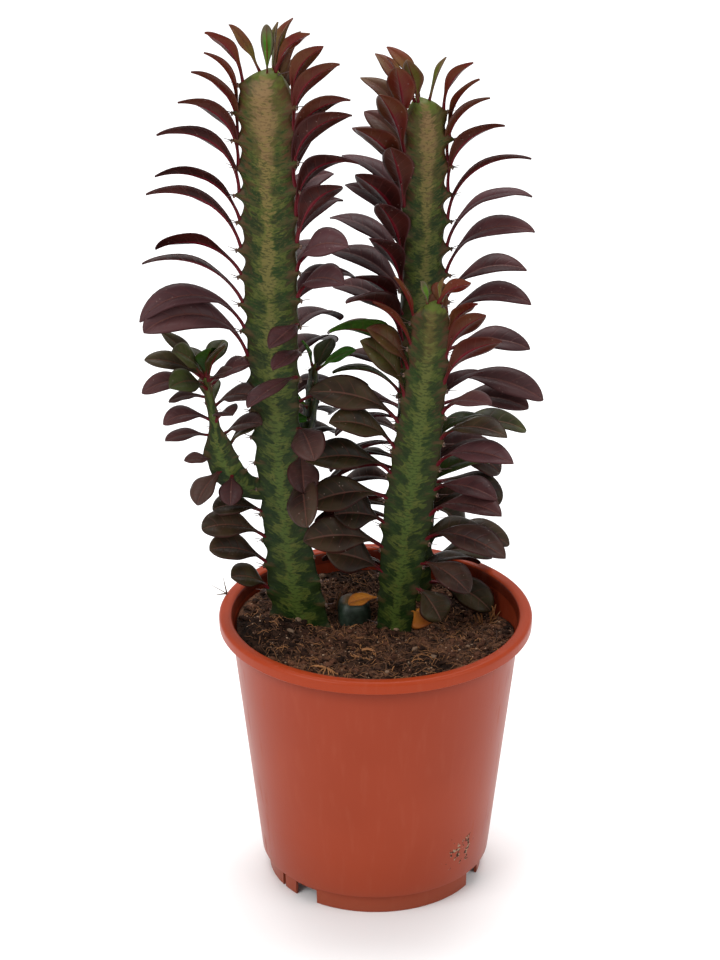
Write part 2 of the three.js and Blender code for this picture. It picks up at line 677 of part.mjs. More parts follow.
// Places along a leaf's midrib, each with its sideways and upper-face directions
function leafLine(leaf) {
  const places = [];
  let point = leaf.root;
  let before = null;
  for (let i = 0; i <= LEAF_STEPS; i++) {
    const u = i / LEAF_STEPS;
    const out = level(leaf.azimuth + leaf.sweep * u);
    const side = [-out[1], out[0], 0];
    const rise = radians(leaf.lift + leaf.arch * (0.5 - u ** leaf.bow));
    const roll = radians(leaf.roll) * easeInOut(u / ROLLED_BY);
    const tangent = add(add([0, 0, 0], out, Math.cos(rise)), [0, 0, 1], Math.sin(rise));
    const upper = add(add([0, 0, 0], out, -Math.sin(rise)), [0, 0, 1], Math.cos(rise));
    const across = add(add([0, 0, 0], side, Math.cos(roll)), upper, Math.sin(roll));
    const face = add(add([0, 0, 0], side, -Math.sin(roll)), upper, Math.cos(roll));
    if (before) {
      point = add(point, add(tangent, before), leaf.length / LEAF_STEPS / 2);
    }
    places.push({ u, point, across, face });
    before = tangent;
  }
  return places;
}

// Half the blade's width: a narrow stalk, a belly past the middle and an end that is rounder with age
function leafHalfWidth(leaf, u) {
  const old = clamp((leaf.age - ROUNDED_FROM) / (ROUNDED_BY - ROUNDED_FROM));
  const [inner, outer] = POINTED_END.map((power, i) => power + (ROUND_END[i] - power) * old);
  const share =
    u < LEAF_BELLY
      ? LEAF_STALK + (1 - LEAF_STALK) * easeInOut((u - STALK_END) / (LEAF_BELLY - STALK_END))
      : (1 - ((u - LEAF_BELLY) / (1 - LEAF_BELLY)) ** inner) ** outer;
  return (leaf.width / 2) * share;
}

// A point on the folded blade: v is -1 at one edge, 0 on the midrib and 1 at the other edge
function onBlade(leaf, { u, point, across, face }, v) {
  const half = leafHalfWidth(leaf, u);
  const flat = add(point, across, half * v * Math.cos(radians(LEAF_FOLD)));
  return add(flat, face, half * Math.abs(v) * Math.sin(radians(LEAF_FOLD)));
}

function leafSamples(leaf) {
  const samples = [];
  leafLine(leaf).forEach((place, i) => {
    if (i % SAMPLE_EVERY) return;
    for (let j = 0; j < SAMPLES_ACROSS; j++) {
      samples.push(onBlade(leaf, place, -1 + (2 * j) / (SAMPLES_ACROSS - 1)));
    }
  });
  return samples;
}

function clearOfGround(samples) {
  return samples.every(([x, y, z]) => {
    const r = Math.hypot(x, y);
    if (r > RIM_OUTSIDE) return true;
    return z > (r > RIM_INSIDE ? RIM_CLEAR_HEIGHT : soilTop(x, y) + CLEAR_OF_SOIL);
  });
}

function apart(samples, points, distance) {
  return samples.every((a) => points.every((b) => Math.hypot(...add(a, b, -1)) >= distance));
}

function clearOfStems(samples, own) {
  return Object.entries(STEMS).every(([name, stem]) => {
    if (name === own) return true;
    const line = Array.from({ length: AXIS_SAMPLES }, (_, i) => axisPoint(stem.path, i / (AXIS_SAMPLES - 1)));
    return apart(samples, line, stem.reach + CLEAR_OF_STEM);
  });
}

// The first stance of a leaf, from its own outwards, that is clear of everything that isn't its own stem's
function bentClear(leaf, own, taken) {
  for (const size of TRY_SIZES) {
    for (const turn of TRY_TURNS) {
      for (const lift of TRY_LIFTS) {
        const trial = {
          ...leaf,
          azimuth: leaf.azimuth + turn,
          lift: leaf.lift + lift,
          length: leaf.length * size,
          width: leaf.width * Math.sqrt(size),
        };
        const samples = leafSamples(trial);
        const blade = samples.slice(SAMPLES_ACROSS * STALK_SAMPLES);
        if (clearOfGround(samples) && clearOfStems(samples, own) && apart(blade, taken, CLEAR_OF_LEAF)) {
          return { trial, samples };
        }
      }
    }
  }
  return null;
}

function settledLeaves() {
  const settled = {};
  const samplesOf = {};
  for (const name of Object.keys(STEMS)) {
    settled[name] = [];
    const taken = Object.values(samplesOf).flat();
    samplesOf[name] = [];
    for (const leaf of leavesOf(name)) {
      const placed = bentClear(leaf, name, taken);
      if (!placed) continue;
      settled[name].push(placed.trial);
      samplesOf[name].push(...placed.samples);
    }
  }
  return settled;
}

// A leaf as a keeled wedge: its two edges and the underside of its midrib
function leafSolid(leaf) {
  const line = leafLine(leaf);
  const rings = LEAF_STATIONS.map((i) => {
    const keel = add(line[i].point, line[i].face, -LEAF_THICKNESS);
    return [onBlade(leaf, line[i], 1), onBlade(leaf, line[i], -1), keel];
  });
  return solidOf(loft(rings, middle(rings[0]), line[LEAF_STEPS].point));
}

// Spines
function spineSolid(root, direction) {
  const side = unit(cross(direction, [0, 0, 1]));
  const up = cross(side, direction);
  const ring = [0, 120, 240].map((degrees) => {
    const turn = radians(degrees);
    return add(add(root, side, SPINE_RADIUS * Math.cos(turn)), up, -SPINE_RADIUS * Math.sin(turn));
  });
  return solidOf(loft([ring], root, add(root, direction, SPINE_LENGTH + SPINE_SINK)));
}

function spinesOf(stem) {
  const spines = [];
  for (let rib = 0; rib < RIBS; rib++) {
    teethOf(stem, rib).forEach((s, k) => {
      if ((k + rib) % SPINE_EVERY || s < SPINES_ABOVE) return;
      const frame = stemFrame(stem, s);
      const root = aroundStem(frame, (360 / RIBS) * rib, toothReach(stem, s) - SPINE_SINK);
      for (const spread of [-SPINE_SPREAD, SPINE_SPREAD]) {
        const tip = aroundStem(frame, (360 / RIBS) * rib + spread, 1);
        const direction = unit(add(add(tip, frame.centre, -1), frame.axis, SPINE_RISE));
        spines.push(spineSolid(root, direction));
      }
    });
  }
  return spines;
}

function leafyStemGeometry(name, leaves) {
  const stem = STEMS[name];
  const branches = name === BRANCH_NODE ? Object.values(BRANCHES) : [];
  const solids = [
    stemSolid(stem),
    ...branches.map(branchSolid),
    ...leaves.map(leafSolid),
    ...[stem, ...branches].flatMap(spinesOf),
  ];
  return geometryOf(wasm.Manifold.union(solids));
}

// Scene graph
function piece(name, geometry, roughness) {
  const material = new THREE.MeshStandardMaterial({ color: COLOURS[name], roughness, metalness: 0 });
  const mesh = new THREE.Mesh(geometry, material);
  mesh.name = name;
  return mesh;
}

function pottedEuphorbia() {
  const group = new THREE.Group();
  group.add(piece("pot", potGeometry(), 0.45));
  group.add(piece("soil", soilGeometry(), 1));
  const leaves = settledLeaves();
  for (const name of Object.keys(STEMS)) group.add(piece(name, leafyStemGeometry(name, leaves[name]), 0.55));
  group.add(piece("stub", geometryOf(stubSolid()), 0.6));
  return group;
}

export default pottedEuphorbia();
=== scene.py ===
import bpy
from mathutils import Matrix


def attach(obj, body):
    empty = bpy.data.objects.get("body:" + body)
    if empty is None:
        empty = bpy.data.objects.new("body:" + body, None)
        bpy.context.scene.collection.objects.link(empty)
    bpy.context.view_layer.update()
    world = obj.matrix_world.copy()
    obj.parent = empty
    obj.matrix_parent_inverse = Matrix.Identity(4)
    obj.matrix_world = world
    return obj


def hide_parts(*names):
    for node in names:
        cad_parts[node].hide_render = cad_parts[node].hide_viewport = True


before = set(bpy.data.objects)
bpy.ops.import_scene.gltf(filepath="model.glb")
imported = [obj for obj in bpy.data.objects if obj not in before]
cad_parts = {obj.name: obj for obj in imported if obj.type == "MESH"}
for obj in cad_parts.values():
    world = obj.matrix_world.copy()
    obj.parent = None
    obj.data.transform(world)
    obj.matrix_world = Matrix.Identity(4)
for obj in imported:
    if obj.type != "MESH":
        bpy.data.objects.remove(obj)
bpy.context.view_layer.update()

import itertools
import math
import random

import bmesh
import bpy
import numpy as np
from mathutils import Vector, noise

# A potted euphorbia. Lengths below are millimetres and angles degrees, and MM turns them into metres.
MM = 0.001

# Pot
POT_HEIGHT = 155
RIM_RADIUS = 85
RIM_DROP = 6.8
RIM_SKIRT = 1.6
RIM_ROUNDING = (2.4, 2.2)
WALL_TOP_RADIUS = 78.4
WALL_FOOT_RADIUS = 62.7
WALL = 1.4
FOOT_HEIGHT = 11.6
FOOT_RADIUS = 58.9
FOOT_WALL = 1.6
FLOOR = 1.7
PAD_RADIUS = 25
PAD_SLOPE = 6
POT_SEGMENTS = 180
POT_SHARP_FROM = 34
WALL_SHARES = (0.2, 0.4, 0.6, 0.8, 0.97)
NOTCH_WIDTH = 15
NOTCH_HEIGHT = 8.4
NOTCH_AZIMUTHS = (-130, -24, 50, 156)
SLIT_WIDTH = 2.6
SLIT_AZIMUTHS = (-148, 32)
DRAIN_RADIUS = 51
DRAIN_LENGTH = 9
CUT_THROUGH = 8

# Soil. The headings, curls and turns of fibres are in radians
GAP = 0.35
GAP_MORE = 0.2
SOIL_LEVEL = 143
SOIL_SWELLS = ((6, -62, 8, 30, 45), (-12, 50, 36, 26, 30))
SOIL_AROUND = 280
SOIL_RINGS = 90
SOIL_RADIUS = 75.4
SOIL_FLAT_FROM = 74.5
SOIL_FLAT_OVER = 6
CLODS = ((2.1, 0.075, 3.0), (1.2, 0.28, 9.0), (0.5, 0.8, 5.0))
CLOD_GRAIN = (0.8, 2.1, 5)
ROUGH_AT_WALL = 0.2
CLODS_LOWERED = 0.4
CRUMBS = 4200
CRUMBS_WITHIN = 73.0
SMALL_CRUMBS = 0.82
SMALL_SIZES = (0.35, 1.0)
LARGE_SIZES = (0.9, 2.3)
FINER_FROM = 1.5
CRUMB_STRETCHES = ((0.7, 1.5), (0.6, 1.1), (0.4, 0.85))
CRUMB_LUMPS = 0.28
LUMP_SCALE = 1.7
LUMP_SHIFT = 3.1
CRUMB_RAISED = 0.22
PALE_UNDER = 0.75
FIBRES = 1500
FIBRES_WITHIN = 74
FIBRES_START_WITHIN = 68
FIBRE_STEPS = 9
FIBRE_OVER_SOIL = 0.25
# A loose fibre's length, heading, curl and lift
FIBRE_SPANS = ((2.5, 12), (0, 2 * math.pi), (-2.2, 2.2), (0, 1.6))
FIBRE_RADII = (0.08, 0.26)
FIBRE_ENDS = (0.5, 0.3)
COIR_STRANDS = ((0, -2.4), (0.9, -1.2), (-0.7, 0.6))
COIR_RING = (-6.7, -29.7)
COIR_RING_HALVES = (6, 5.5)
COIR_RING_TURN = 5.3
COIR_RING_STEPS = 14
COIR_RING_RAISED = 1.9
COIR_RING_WAVE = 0.8
# The standing tuft's sprigs: off its middle across and back, lean across and back, and height
STANDING_TUFT = (61.5, 30)
STANDING_SPRIGS = 16
STANDING_SPANS = ((-6, 6), (-4, 4), (-3, 3), (-3, 2), (5, 11))
# The splayed tuft's sprigs: heading, length and curl
SPLAYED_TUFT = (-26, -46)
SPLAYED_SPRIGS = 12
SPLAYED_SPANS = ((2.0, 6.2), (5, 11), (-1, 1))
SPLAYED_LIFT = 1.4
SPRIG_SINK = 1
TWIG = (-21.8, 21.8)
TWIG_STEP = (0.5, 0.6, 2.2)
TWIG_STEPS = 6
THORN_ROOT = (-81.5, 19.0, 155.4)
THORN_POINTS = (((-83.5, 20.7, 164.5), 0.5), ((-93.0, 22.5, 160.5), 0.32), ((-88.0, 17.4, 155.2), 0.6))

# Stems: the axis is a cubic from the soil to the tip, reach is the radius at the tooth tips
STEMS = {
    "stem_front": dict(
        seed=7, path=((11.2, 5.5, 140), (16.5, 6, 204), (27.5, 6, 266), (30.5, 6, 331)),
        azimuth=196, reach=17.3, teeth=13, phase=(2, 0, 1), jag=0.7, dome=6,
        girth=((0, 0.7), (0.2, 0.86), (0.35, 1), (0.6, 1), (0.8, 0.85), (1, 0.8)),
    ),
    "stem_left": dict(
        seed=1, path=((-37.5, 13, 141), (-58, 17, 240), (-51, 18, 350), (-55.5, 18, 453)),
        azimuth=195, reach=21.7, teeth=21, phase=(1, 0, 2), jag=1, dome=11,
        girth=((0, 0.96), (0.08, 0.93), (0.16, 0.8), (0.22, 0.77), (0.4, 0.8), (0.6, 0.96), (1, 1)),
    ),
    "stem_right": dict(
        seed=4, path=((17, 47, 139), (21, 47.5, 236), (23.5, 48, 332), (23.6, 48, 428)),
        azimuth=352, reach=18.5, teeth=19, phase=(1, 0, 2), jag=1.25, dome=10,
        girth=((0, 0.85), (0.5, 0.95), (1, 1)),
    ),
}
BRANCHES = {
    "side": dict(
        seed=11, path=((-58, 15, 219), (-88, 14, 226), (-83, 13, 258), (-90.5, 12, 287)),
        azimuth=200, reach=12, teeth=6, phase=(0, 1, 2), jag=0.8, dome=5,
        girth=((0, 0.5), (0.2, 0.85), (0.36, 1), (0.55, 0.9), (0.66, 0.34), (1, 0.28)),
    ),
    "back": dict(
        seed=13, path=((-46, 23, 232), (-33, 28, 250), (-35, 28, 270), (-33, 27, 287)),
        azimuth=30, reach=5.5, teeth=5, phase=(0, 1, 2), jag=1, dome=5,
        girth=((0, 0.6), (0.3, 1), (0.7, 0.9), (1, 0.6)),
    ),
}
BRANCH_NODE = "stem_left"
RIBS = 3
RIB_TURN = 360 / RIBS
SMALL_STEM = 12
SMALL_RINGS = 9
SMALL_SPINES = 0.55
RINGS_PER_TOOTH = 3
FINE_RINGS = 15
TOOTH_DEPTH = ((0, 0.13), (0.4, 0.15), (0.7, 0.23), (1, 0.25))
VALLEY_ROUNDING = 2.3
RIB_PROFILE = ((20, 0.64), (60, 0.5), (100, 0.64))
FINE_ANGLES = (0, 2.2, 5.5, 10, 15, 21, 30, 40, 50, 60, 70, 80, 90, 99, 105, 110, 114.5, 117.8)
RIB_UNEVEN = 0.025
RIB_WAVES = 9.1
RIB_WAVE_SHIFT = 2.3
RIB_BLUNT = 0.03
RIB_BLUNT_WIDTH = 1.6
STREAK_SLANT = 0.55
TALL_TEETH = 20
TIP_RADIUS = 0.42
TIP_RISE = 2
STEM_BURIED = 12

STUB = dict(x=-12.5, y=12.5, radius=9, lobe=0.8, top=157)
STUB_LENGTH = 30
STUB_UNEVEN = 0.02
STUB_TWIST = 0.9
STUB_FLAT_TOP = 0.25
STUB_AROUND = 60
STUB_ROWS = (
    (STUB_LENGTH, 0.94), (16, 1), (9, 1), (6, 0.985), (4, 0.93), (2.5, 0.83), (1.4, 0.68),
    (0.7, 0.5), (0.3, 0.3),
)

# Leaves by age, counted in teeth from the top
LEAF_LENGTH = ((0, 27), (1, 36), (2, 43), (3, 49), (5, 57), (7, 60), (10, 58), (13, 51), (20, 36))
LEAF_WIDTH = ((0, 9), (2, 13), (5, 17), (8, 19), (14, 20), (20, 18))
LEAF_LIFT = ((0, 76), (2, 67), (4, 56), (6, 38), (8, 27), (10, 10), (12, -2), (14, -8), (20, -8))
LEAF_ARCH = ((0, 60), (2, 82), (4, 100), (7, 96), (9, 88), (11, 80), (14, 64), (20, 54))
LEAF_STEPS = 24
LEAF_FOLD = 12
LEAF_STALK = 0.14
STALK_END = 0.12
LEAF_BELLY = 0.64
POINTED_END = (1.8, 0.8)
ROUND_END = (2.4, 0.6)
ROUNDED_FROM = 8
ROUNDED_BY = 12
ROLLED_BY = 0.55
LEAF_SINK = 3.4
LEAF_OVER_TOOTH = 0.8
FINE_LENGTH = 0.985
LEAF_ROWS = (
    0, 0.03, 0.06, 0.09, 0.12, 0.16, 0.2, 0.25, 0.3, 0.35, 0.4, 0.45, 0.5, 0.55, 0.6,
    0.65, 0.7, 0.75, 0.8, 0.85, 0.89, 0.92, 0.945, 0.965, 0.98, 0.992, 1,
)
LEAF_LEAST = 0.02
LEAF_WAVE = 0.35
LEAF_WAVES = 1.6
LEAF_CHEEK = 0.09
CHEEK_UNEVEN = 0.07
LEAF_THICK = 0.95
LEAF_THINNER = 0.6
STALK_THICK = 1.9
MIDRIB_WIDTH = 0.1
MIDRIB_SUNK = 0.22
MIDRIB_RAISED = 0.5
MIDRIB_FADE = 0.75
LEAF_STALK_FADE = 0.2
LEAF_EDGE_SIDE = 0.6
YOUNG_LOOK_TEETH = 4.5
LEAF_COLUMNS = (-1, -0.82, -0.55, -0.28, -0.09, 0, 0.09, 0.28, 0.55, 0.82, 1)


def posed_from(first, *rows):
    """Leaves from a number on, each given as azimuth, sweep, lift, arch, roll, length and width."""
    names = ("azimuth", "sweep", "lift", "arch", "roll", "length", "width")
    return {k: dict(zip(names, row)) for k, row in enumerate(rows, first)}


# What each rib changes for its leaves, which are counted from the top: green is fresh, fading is orange
PLAIN_RIB = dict(
    turn=0, sweep=0, roll=(0, 0), flip=4, bare=(), arch=0, bow=1, breadth=1, size=1, olive=0,
    green={}, fading={}, lifts=(), lengths=(), posed={},
)
HABITS = {
    "stem_front": (
        dict(
            turn=-6, sweep=4, roll=(14, -42), flip=2, bare=(12,), arch=-25, bow=0.6, breadth=1.15,
            size=0.86, olive=0.86, green={3: 0.2}, fading={11: 1.0},
            lifts=(72, 59, 58, 64, 31, 38, 25, 11, 22, 21, 16, 5),
            lengths=(28, 35, 36, 44, 55, 45, 53, 49, 30, 49, 35, 23),
            posed={11: dict(lift=-8, arch=20, roll=-12, length=19, width=12)},
        ),
        dict(
            sweep=10, roll=(-44, 24), flip=3.3, arch=-10, bow=0.5, breadth=1.04,
            green={5: 0.3}, fading={12: 1.0},
            lifts=(47, 61, 62, 57, 38, 32, 32, 21, 31, 21, 4, -29, 0),
            lengths=(29, 29, 46, 56, 39, 46, 56, 42, 53, 59, 38, 24, 15),
        ),
        dict(size=0.86, green={4: 0.7, 6: 0.7, 8: 0.7}, lifts=(60, 60), lengths=(13, 24)),
    ),
    "stem_left": (
        dict(
            turn=-4, roll=(31, -26), flip=8.4, bare=(11, 12, 13, 14, 15),
            lifts=(55, 64, 58, 50, 39, 32, 33, 18, 24, 9, 20, 0, 0, 0, 0, 0, 4, 11, 20, 25, 0),
            lengths=(37, 39, 48, 56, 64, 59, 66, 54, 64, 70, 72, 50, 0, 0, 0, 0, 29, 38, 36, 25, 22),
            posed={9: dict(arch=122), 10: dict(arch=112, roll=-32, width=24)},
        ),
        dict(
            turn=8, sweep=8, roll=(-38, 30), bare=(17, 18, 19, 20), bow=0.8,
            lifts=(50, 67, 62, 55, 60, 48, 51, 37, 31),
            lengths=(36, 41, 53, 56, 62, 65, 60, 40, 39),
            posed={
                5: dict(roll=-30), 6: dict(azimuth=308, sweep=0, arch=60, roll=-24),
                **posed_from(
                    9, (262, -40, -1, 50, -10, 33, 14), (270, -45, 5, 50, 0, 34, 14),
                    (246, -30, -3, 50, 4, 43, 16), (335, 0, 10, 40, 10, 41, 15),
                    (305, 0, -2, 50, 20, 38, 19), (276, 0, -20, 60, -10, 30, 18),
                ),
            },
        ),
        dict(turn=-10, sweep=-25, bare=(17, 18, 19, 20)),
    ),
    "stem_right": (
        dict(
            roll=(-26, 24), flip=5, green={12: 0.5},
            lifts=(60, 65, 61, 53, 39, 32, 30, 23, 21, 4, -9, -12, -19, -18, -2, -35),
            lengths=(33, 39, 49, 56, 65, 61, 63, 53, 59, 50, 59, 51, 52, 39, 40, 25),
            posed={9: dict(arch=62), 10: dict(arch=52), 11: dict(arch=55), 12: dict(arch=55)},
        ),
        dict(
            turn=34, roll=(-16, 0), bare=(17, 18), bow=0.7, breadth=1.1,
            lifts=(56, 57, 54, 50), lengths=(33, 42, 50),
        ),
        dict(
            turn=-10, sweep=-8, roll=(58, 24), flip=6, bare=(16, 18), breadth=1.2, green={9: 0.9, 10: 0.6},
            posed={
                8: dict(lift=25), 9: dict(lift=20),
                **posed_from(
                    0, (244, 0, 74, 20, 10, 36, 16), (228, 0, 62, 30, 20, 42, 17),
                    (217, 0, 48, 40, 25, 48, 21), (246, 0, 66, 30, 5, 43, 18),
                    (217, 0, 52, 40, 25, 52, 23), (236, 0, 60, 40, 10, 46, 20),
                    (228, 0, 54, 50, 10, 45, 20), (218, 0, 43, 50, 20, 44, 19),
                ),
            },
        ),
    ),
}
TURN_SPREAD = 9
SWEEP_SPREAD = 8
LIFT_SPREAD = 7
ARCH_SPREAD = 8
ROLL_SPREAD = 12
LENGTH_SPREAD = 0.08
WIDTH_SPREAD = 0.06
TURNING_TEETH = 1

# Crown leaves: azimuth, length, width, lift, roll and how green
CROWNS = {
    "stem_front": ((200, 16, 5, 74, -60, 0.95), (340, 17, 5, 86, 50, 0.3), (10, 14, 4, 71, 30, 0.8)),
    "stem_left": (
        (262, 28, 7, 90, 0, 0.95), (350, 31, 8, 74, 0, 0.3), (20, 28, 8, 86, 0, 0.5),
        (184, 32, 8, 59, -40, 0.1), (335, 26, 9, 60, 0, 0),
    ),
    "stem_right": (
        (240, 31, 12, 66, 0, 0.35), (215, 28, 11, 52, 0, 0),
        (350, 28, 7, 71, 25, 0.45), (170, 29, 9, 58, 0, 0.1),
    ),
}
CROWN_RADIUS = 3.5
CROWN_SINK = 1.5
CROWN_ARCH = 20
CROWN_BLUNT_GREEN = 0.9
# Branch leaves: place on the axis, azimuth, lift, arch, roll, length, width and how green
BRANCH_LEAVES = {
    "side": (
        (0.98, 184, 21, 50, -35, 35, 12, 0.35), (1, 215, 46, 40, -45, 28, 15, 0.5),
        (1, 300, 72, 40, 0, 20, 14, 0.9), (0.95, 190, -5, 60, -30, 36, 13, 0),
        (0.92, 230, 19, 60, -40, 32, 16, 0.6), (0.86, 186, -5, 50, -20, 22, 8, 0.1),
        (0.7, 190, 0, 80, -25, 29, 13, 0), (0.6, 196, 0, 40, -20, 27, 10, 0),
        (0.42, 204, 8, 20, -30, 20, 8, 0), (0.34, 224, -38, 50, 0, 26, 17.5, 0),
        (0.3, 268, -38, 50, 0, 20, 13.5, 0), (0.8, 330, 23, 60, 25, 31, 15, 0.1),
        (0.97, 340, 27, 40, 20, 17, 10, 0), (1, 172, 47, 30, -20, 33, 11, 0.4),
        (1, 60, 37, 40, 0, 24, 13, 0.6), (0.75, 100, 20, 50, 0, 30, 13, 0.5),
        (0.9, 130, 40, 50, 0, 30, 14, 0.5), (0.6, 332, 26, 50, 20, 29, 16, 0.1),
        (0.5, 342, 42, 60, 20, 27, 15, 0.3), (0.93, 346, 34, 50, 20, 28, 16, 0),
        (0.97, 322, 62, 50, 10, 28, 14, 0.3), (0.7, 300, 30, 60, 15, 24, 15, 0),
    ),
    "back": (
        (1, 200, 70, 30, 0, 17, 7, 1), (0.95, 350, 32, 20, 30, 26, 9, 0.95),
        (0.55, 215, 33, 50, -40, 21, 10, 1), (0.45, 240, 15, 50, -30, 15, 10, 1),
        (0.7, 345, -3, 50, 30, 18, 11, 0.9), (0.85, 60, 40, 50, 0, 26, 12, 0.6),
    ),
}
BRANCH_LEAF_ROOT = 0.35
BRANCH_LEAF_AGE = 10
BRANCH_LEAF_LOW = 0.6

# Bending clear, as in the part
CLEAR_OF_LEAF = 4.6
CLEAR_OF_STEM = 1.5
CLEAR_OF_SOIL = 1.5
RIM_INSIDE = 74
RIM_OUTSIDE = 88
RIM_CLEAR_HEIGHT = 157
TRY_SIZES = (1, 0.8, 0.62)
TRY_TURNS = (0, 10, -10, 20, -20, 30, -30, 42, -42, 55, -55)
TRY_LIFTS = (0, 14, -14)
SAMPLES_ACROSS = 7
SAMPLE_EVERY = 2
STALK_SAMPLES = 2
AXIS_SAMPLES = 40

# Spines
SPINE_LENGTH = 5.6
SPINE_RADIUS = 0.32
SPINE_SINK = 1.2
SPINE_SPREAD = 34
SPINE_RISE = 0.15
SPINE_STEPS = 5
SPINE_POINT = 0.03
SPINE_BEND = 0.35
SPREAD_UNEVEN = 0.2
RISE_UNEVEN = 0.12
LENGTH_UNEVEN = 0.18
SCAR_HEIGHT = 3.0
SCAR_WIDTH = 1.5
SCAR_SINK = 0.5
SCAR_DROP = 0.3
SCAR_SIDES = 12
SCAR_SEAT = 0.7
SCAR_LAYER = 0.3
SCAR_TOP = 0.6
SCAR_LAYERS = (0.45, 0.85, 1.0, 0.9, 0.6)

# Looks, camera and lamps, with lengths in metres and the camera's turn in radians.
# A shaded spot is a place in the soil that painted shade darkens, and how far it spreads
LEAF_BUMP = 0.0006
STEM_BUMP = 0.001
POT_BUMP = 0.0006
SOIL_BUMP = 0.002
STUB_BUMP = 0.0008
SIDE_VEINS = 17
VEIN_SLANT = 2.4
STREAK_CLIMB = 0.013
STREAK_SQUEEZE = 2.4
SCUFF_STRETCH = 0.12
WARMER_HEIGHTS = (0.06, 0.147)
# Heights over which painted shade darkens the wall under the rim
UNDER_RIM_SHADE_HEIGHTS = (0.136, 0.146)
DUSTY_HEIGHTS = (0.02, 0)
CORKY_HEIGHTS = (0.1545, 0.1566)
SPLASH_REACH = (0.016, 0.003)
# How ragged the edge of the painted shade round a shaded spot is
SHADE_RAGGED = 0.03
SPLASH_SPOT = (0.046, -0.046, 0.033)
SHADED_SPOTS = (((-0.056, -0.01, 0.148), 0.034), ((0.03, -0.036, 0.144), 0.017))
CAMERA_PLACE = (0, -1.6, 0.961)
CAMERA_DOWN = 24.4796
CAMERA_TURN = 0.0052877
FOCAL_PIXELS = 3299.7
PICTURE_WIDTH = 720
SENSOR_WIDTH = 36
NEAREST = 0.05
FARTHEST = 30
SKY_STRENGTH = 0.62
LAMPS = (
    ("left_softbox", (-1.5, -1.3, 1.5), (0, 0, 0.2), 1.4, 27),
    ("right_softbox", (1.6, -1.0, 1.2), (0, 0, 0.2), 1.2, 11),
    ("top_softbox", (0, 0.9, 2.3), (0, 0.6, 0), 1.8, 52),
)
FLOOR_REACH = 5.0


# Small sums. ASKEW is a direction that no fibre or spine follows
ASKEW = np.array([0.31, 0.17, 0.94])


def level(azimuth):
    return np.array([math.cos(math.radians(azimuth)), math.sin(math.radians(azimuth)), 0.0])


def unit(v):
    return v / np.linalg.norm(v, axis=-1, keepdims=True)


def ease_in_out(x):
    x = np.clip(x, 0, 1)
    return x * x * (3 - 2 * x)


def keyed(pairs, x):
    return np.interp(x, [p[0] for p in pairs], [p[1] for p in pairs])


def jitter(a, b):
    """A fixed draw between -1 and 1 for two numbers."""
    v = math.sin(a * 12.9898 + b * 78.233) * 43758.5453
    return 2 * (v - math.floor(v)) - 1


def full_turn(steps):
    return np.linspace(0, 2 * math.pi, steps, endpoint=False)


def circle(radius, turn, z, x=0.0, y=0.0):
    return np.stack([x + radius * np.cos(turn), y + radius * np.sin(turn), z + 0 * turn], -1)


def soil_top(x, y):
    height = SOIL_LEVEL
    for swell, cx, cy, wide, deep in SOIL_SWELLS:
        height = height + swell * np.exp(-(((x - cx) / wide) ** 2 + ((y - cy) / deep) ** 2))
    return height


# Stem shapes
def axis_point(path, t):
    t = np.asarray(t, float)[..., None]
    p = np.array(path, float)
    s = 1 - t
    return s**3 * p[0] + 3 * s * s * t * p[1] + 3 * s * t * t * p[2] + t**3 * p[3]


def axis_slope(path, t):
    t = np.asarray(t, float)[..., None]
    d = np.diff(np.array(path, float), axis=0)
    s = 1 - t
    return unit(s * s * d[0] + 2 * s * t * d[1] + t * t * d[2])


def stem_length(stem):
    points = axis_point(stem["path"], np.linspace(0, 1, 25))
    return np.linalg.norm(np.diff(points, axis=0), axis=1).sum()


def stem_frame(stem, s):
    """The axis point at s, with the directions along, out to the first rib and across."""
    axis = axis_slope(stem["path"], s)
    rib = level(stem["azimuth"])
    out = unit(rib - axis * (axis @ rib)[..., None])
    return axis_point(stem["path"], s), axis, out, np.cross(axis, out)


def around_stem(stem_frame_at, degrees, radius):
    centre, _, out, across = stem_frame_at
    turn = math.radians(degrees)
    return centre + radius * (math.cos(turn) * out + math.sin(turn) * across)


def tooth_reach(stem, s):
    depth = np.clip((1 - s) * stem_length(stem) / stem["dome"], 0, 1)
    return stem["reach"] * keyed(stem["girth"], s) * (TIP_RADIUS + (1 - TIP_RADIUS) * depth**0.6)


def uneven_rib(stem, rib, s):
    return 1 + RIB_UNEVEN * np.sin(RIB_WAVES * s * stem["teeth"] + RIB_WAVE_SHIFT * rib + stem["seed"])


def teeth_of(stem, rib):
    rings = stem["teeth"] * RINGS_PER_TOOTH
    return [1 - ring / rings for ring in range(rings) if ring % RINGS_PER_TOOTH == stem["phase"][rib]]


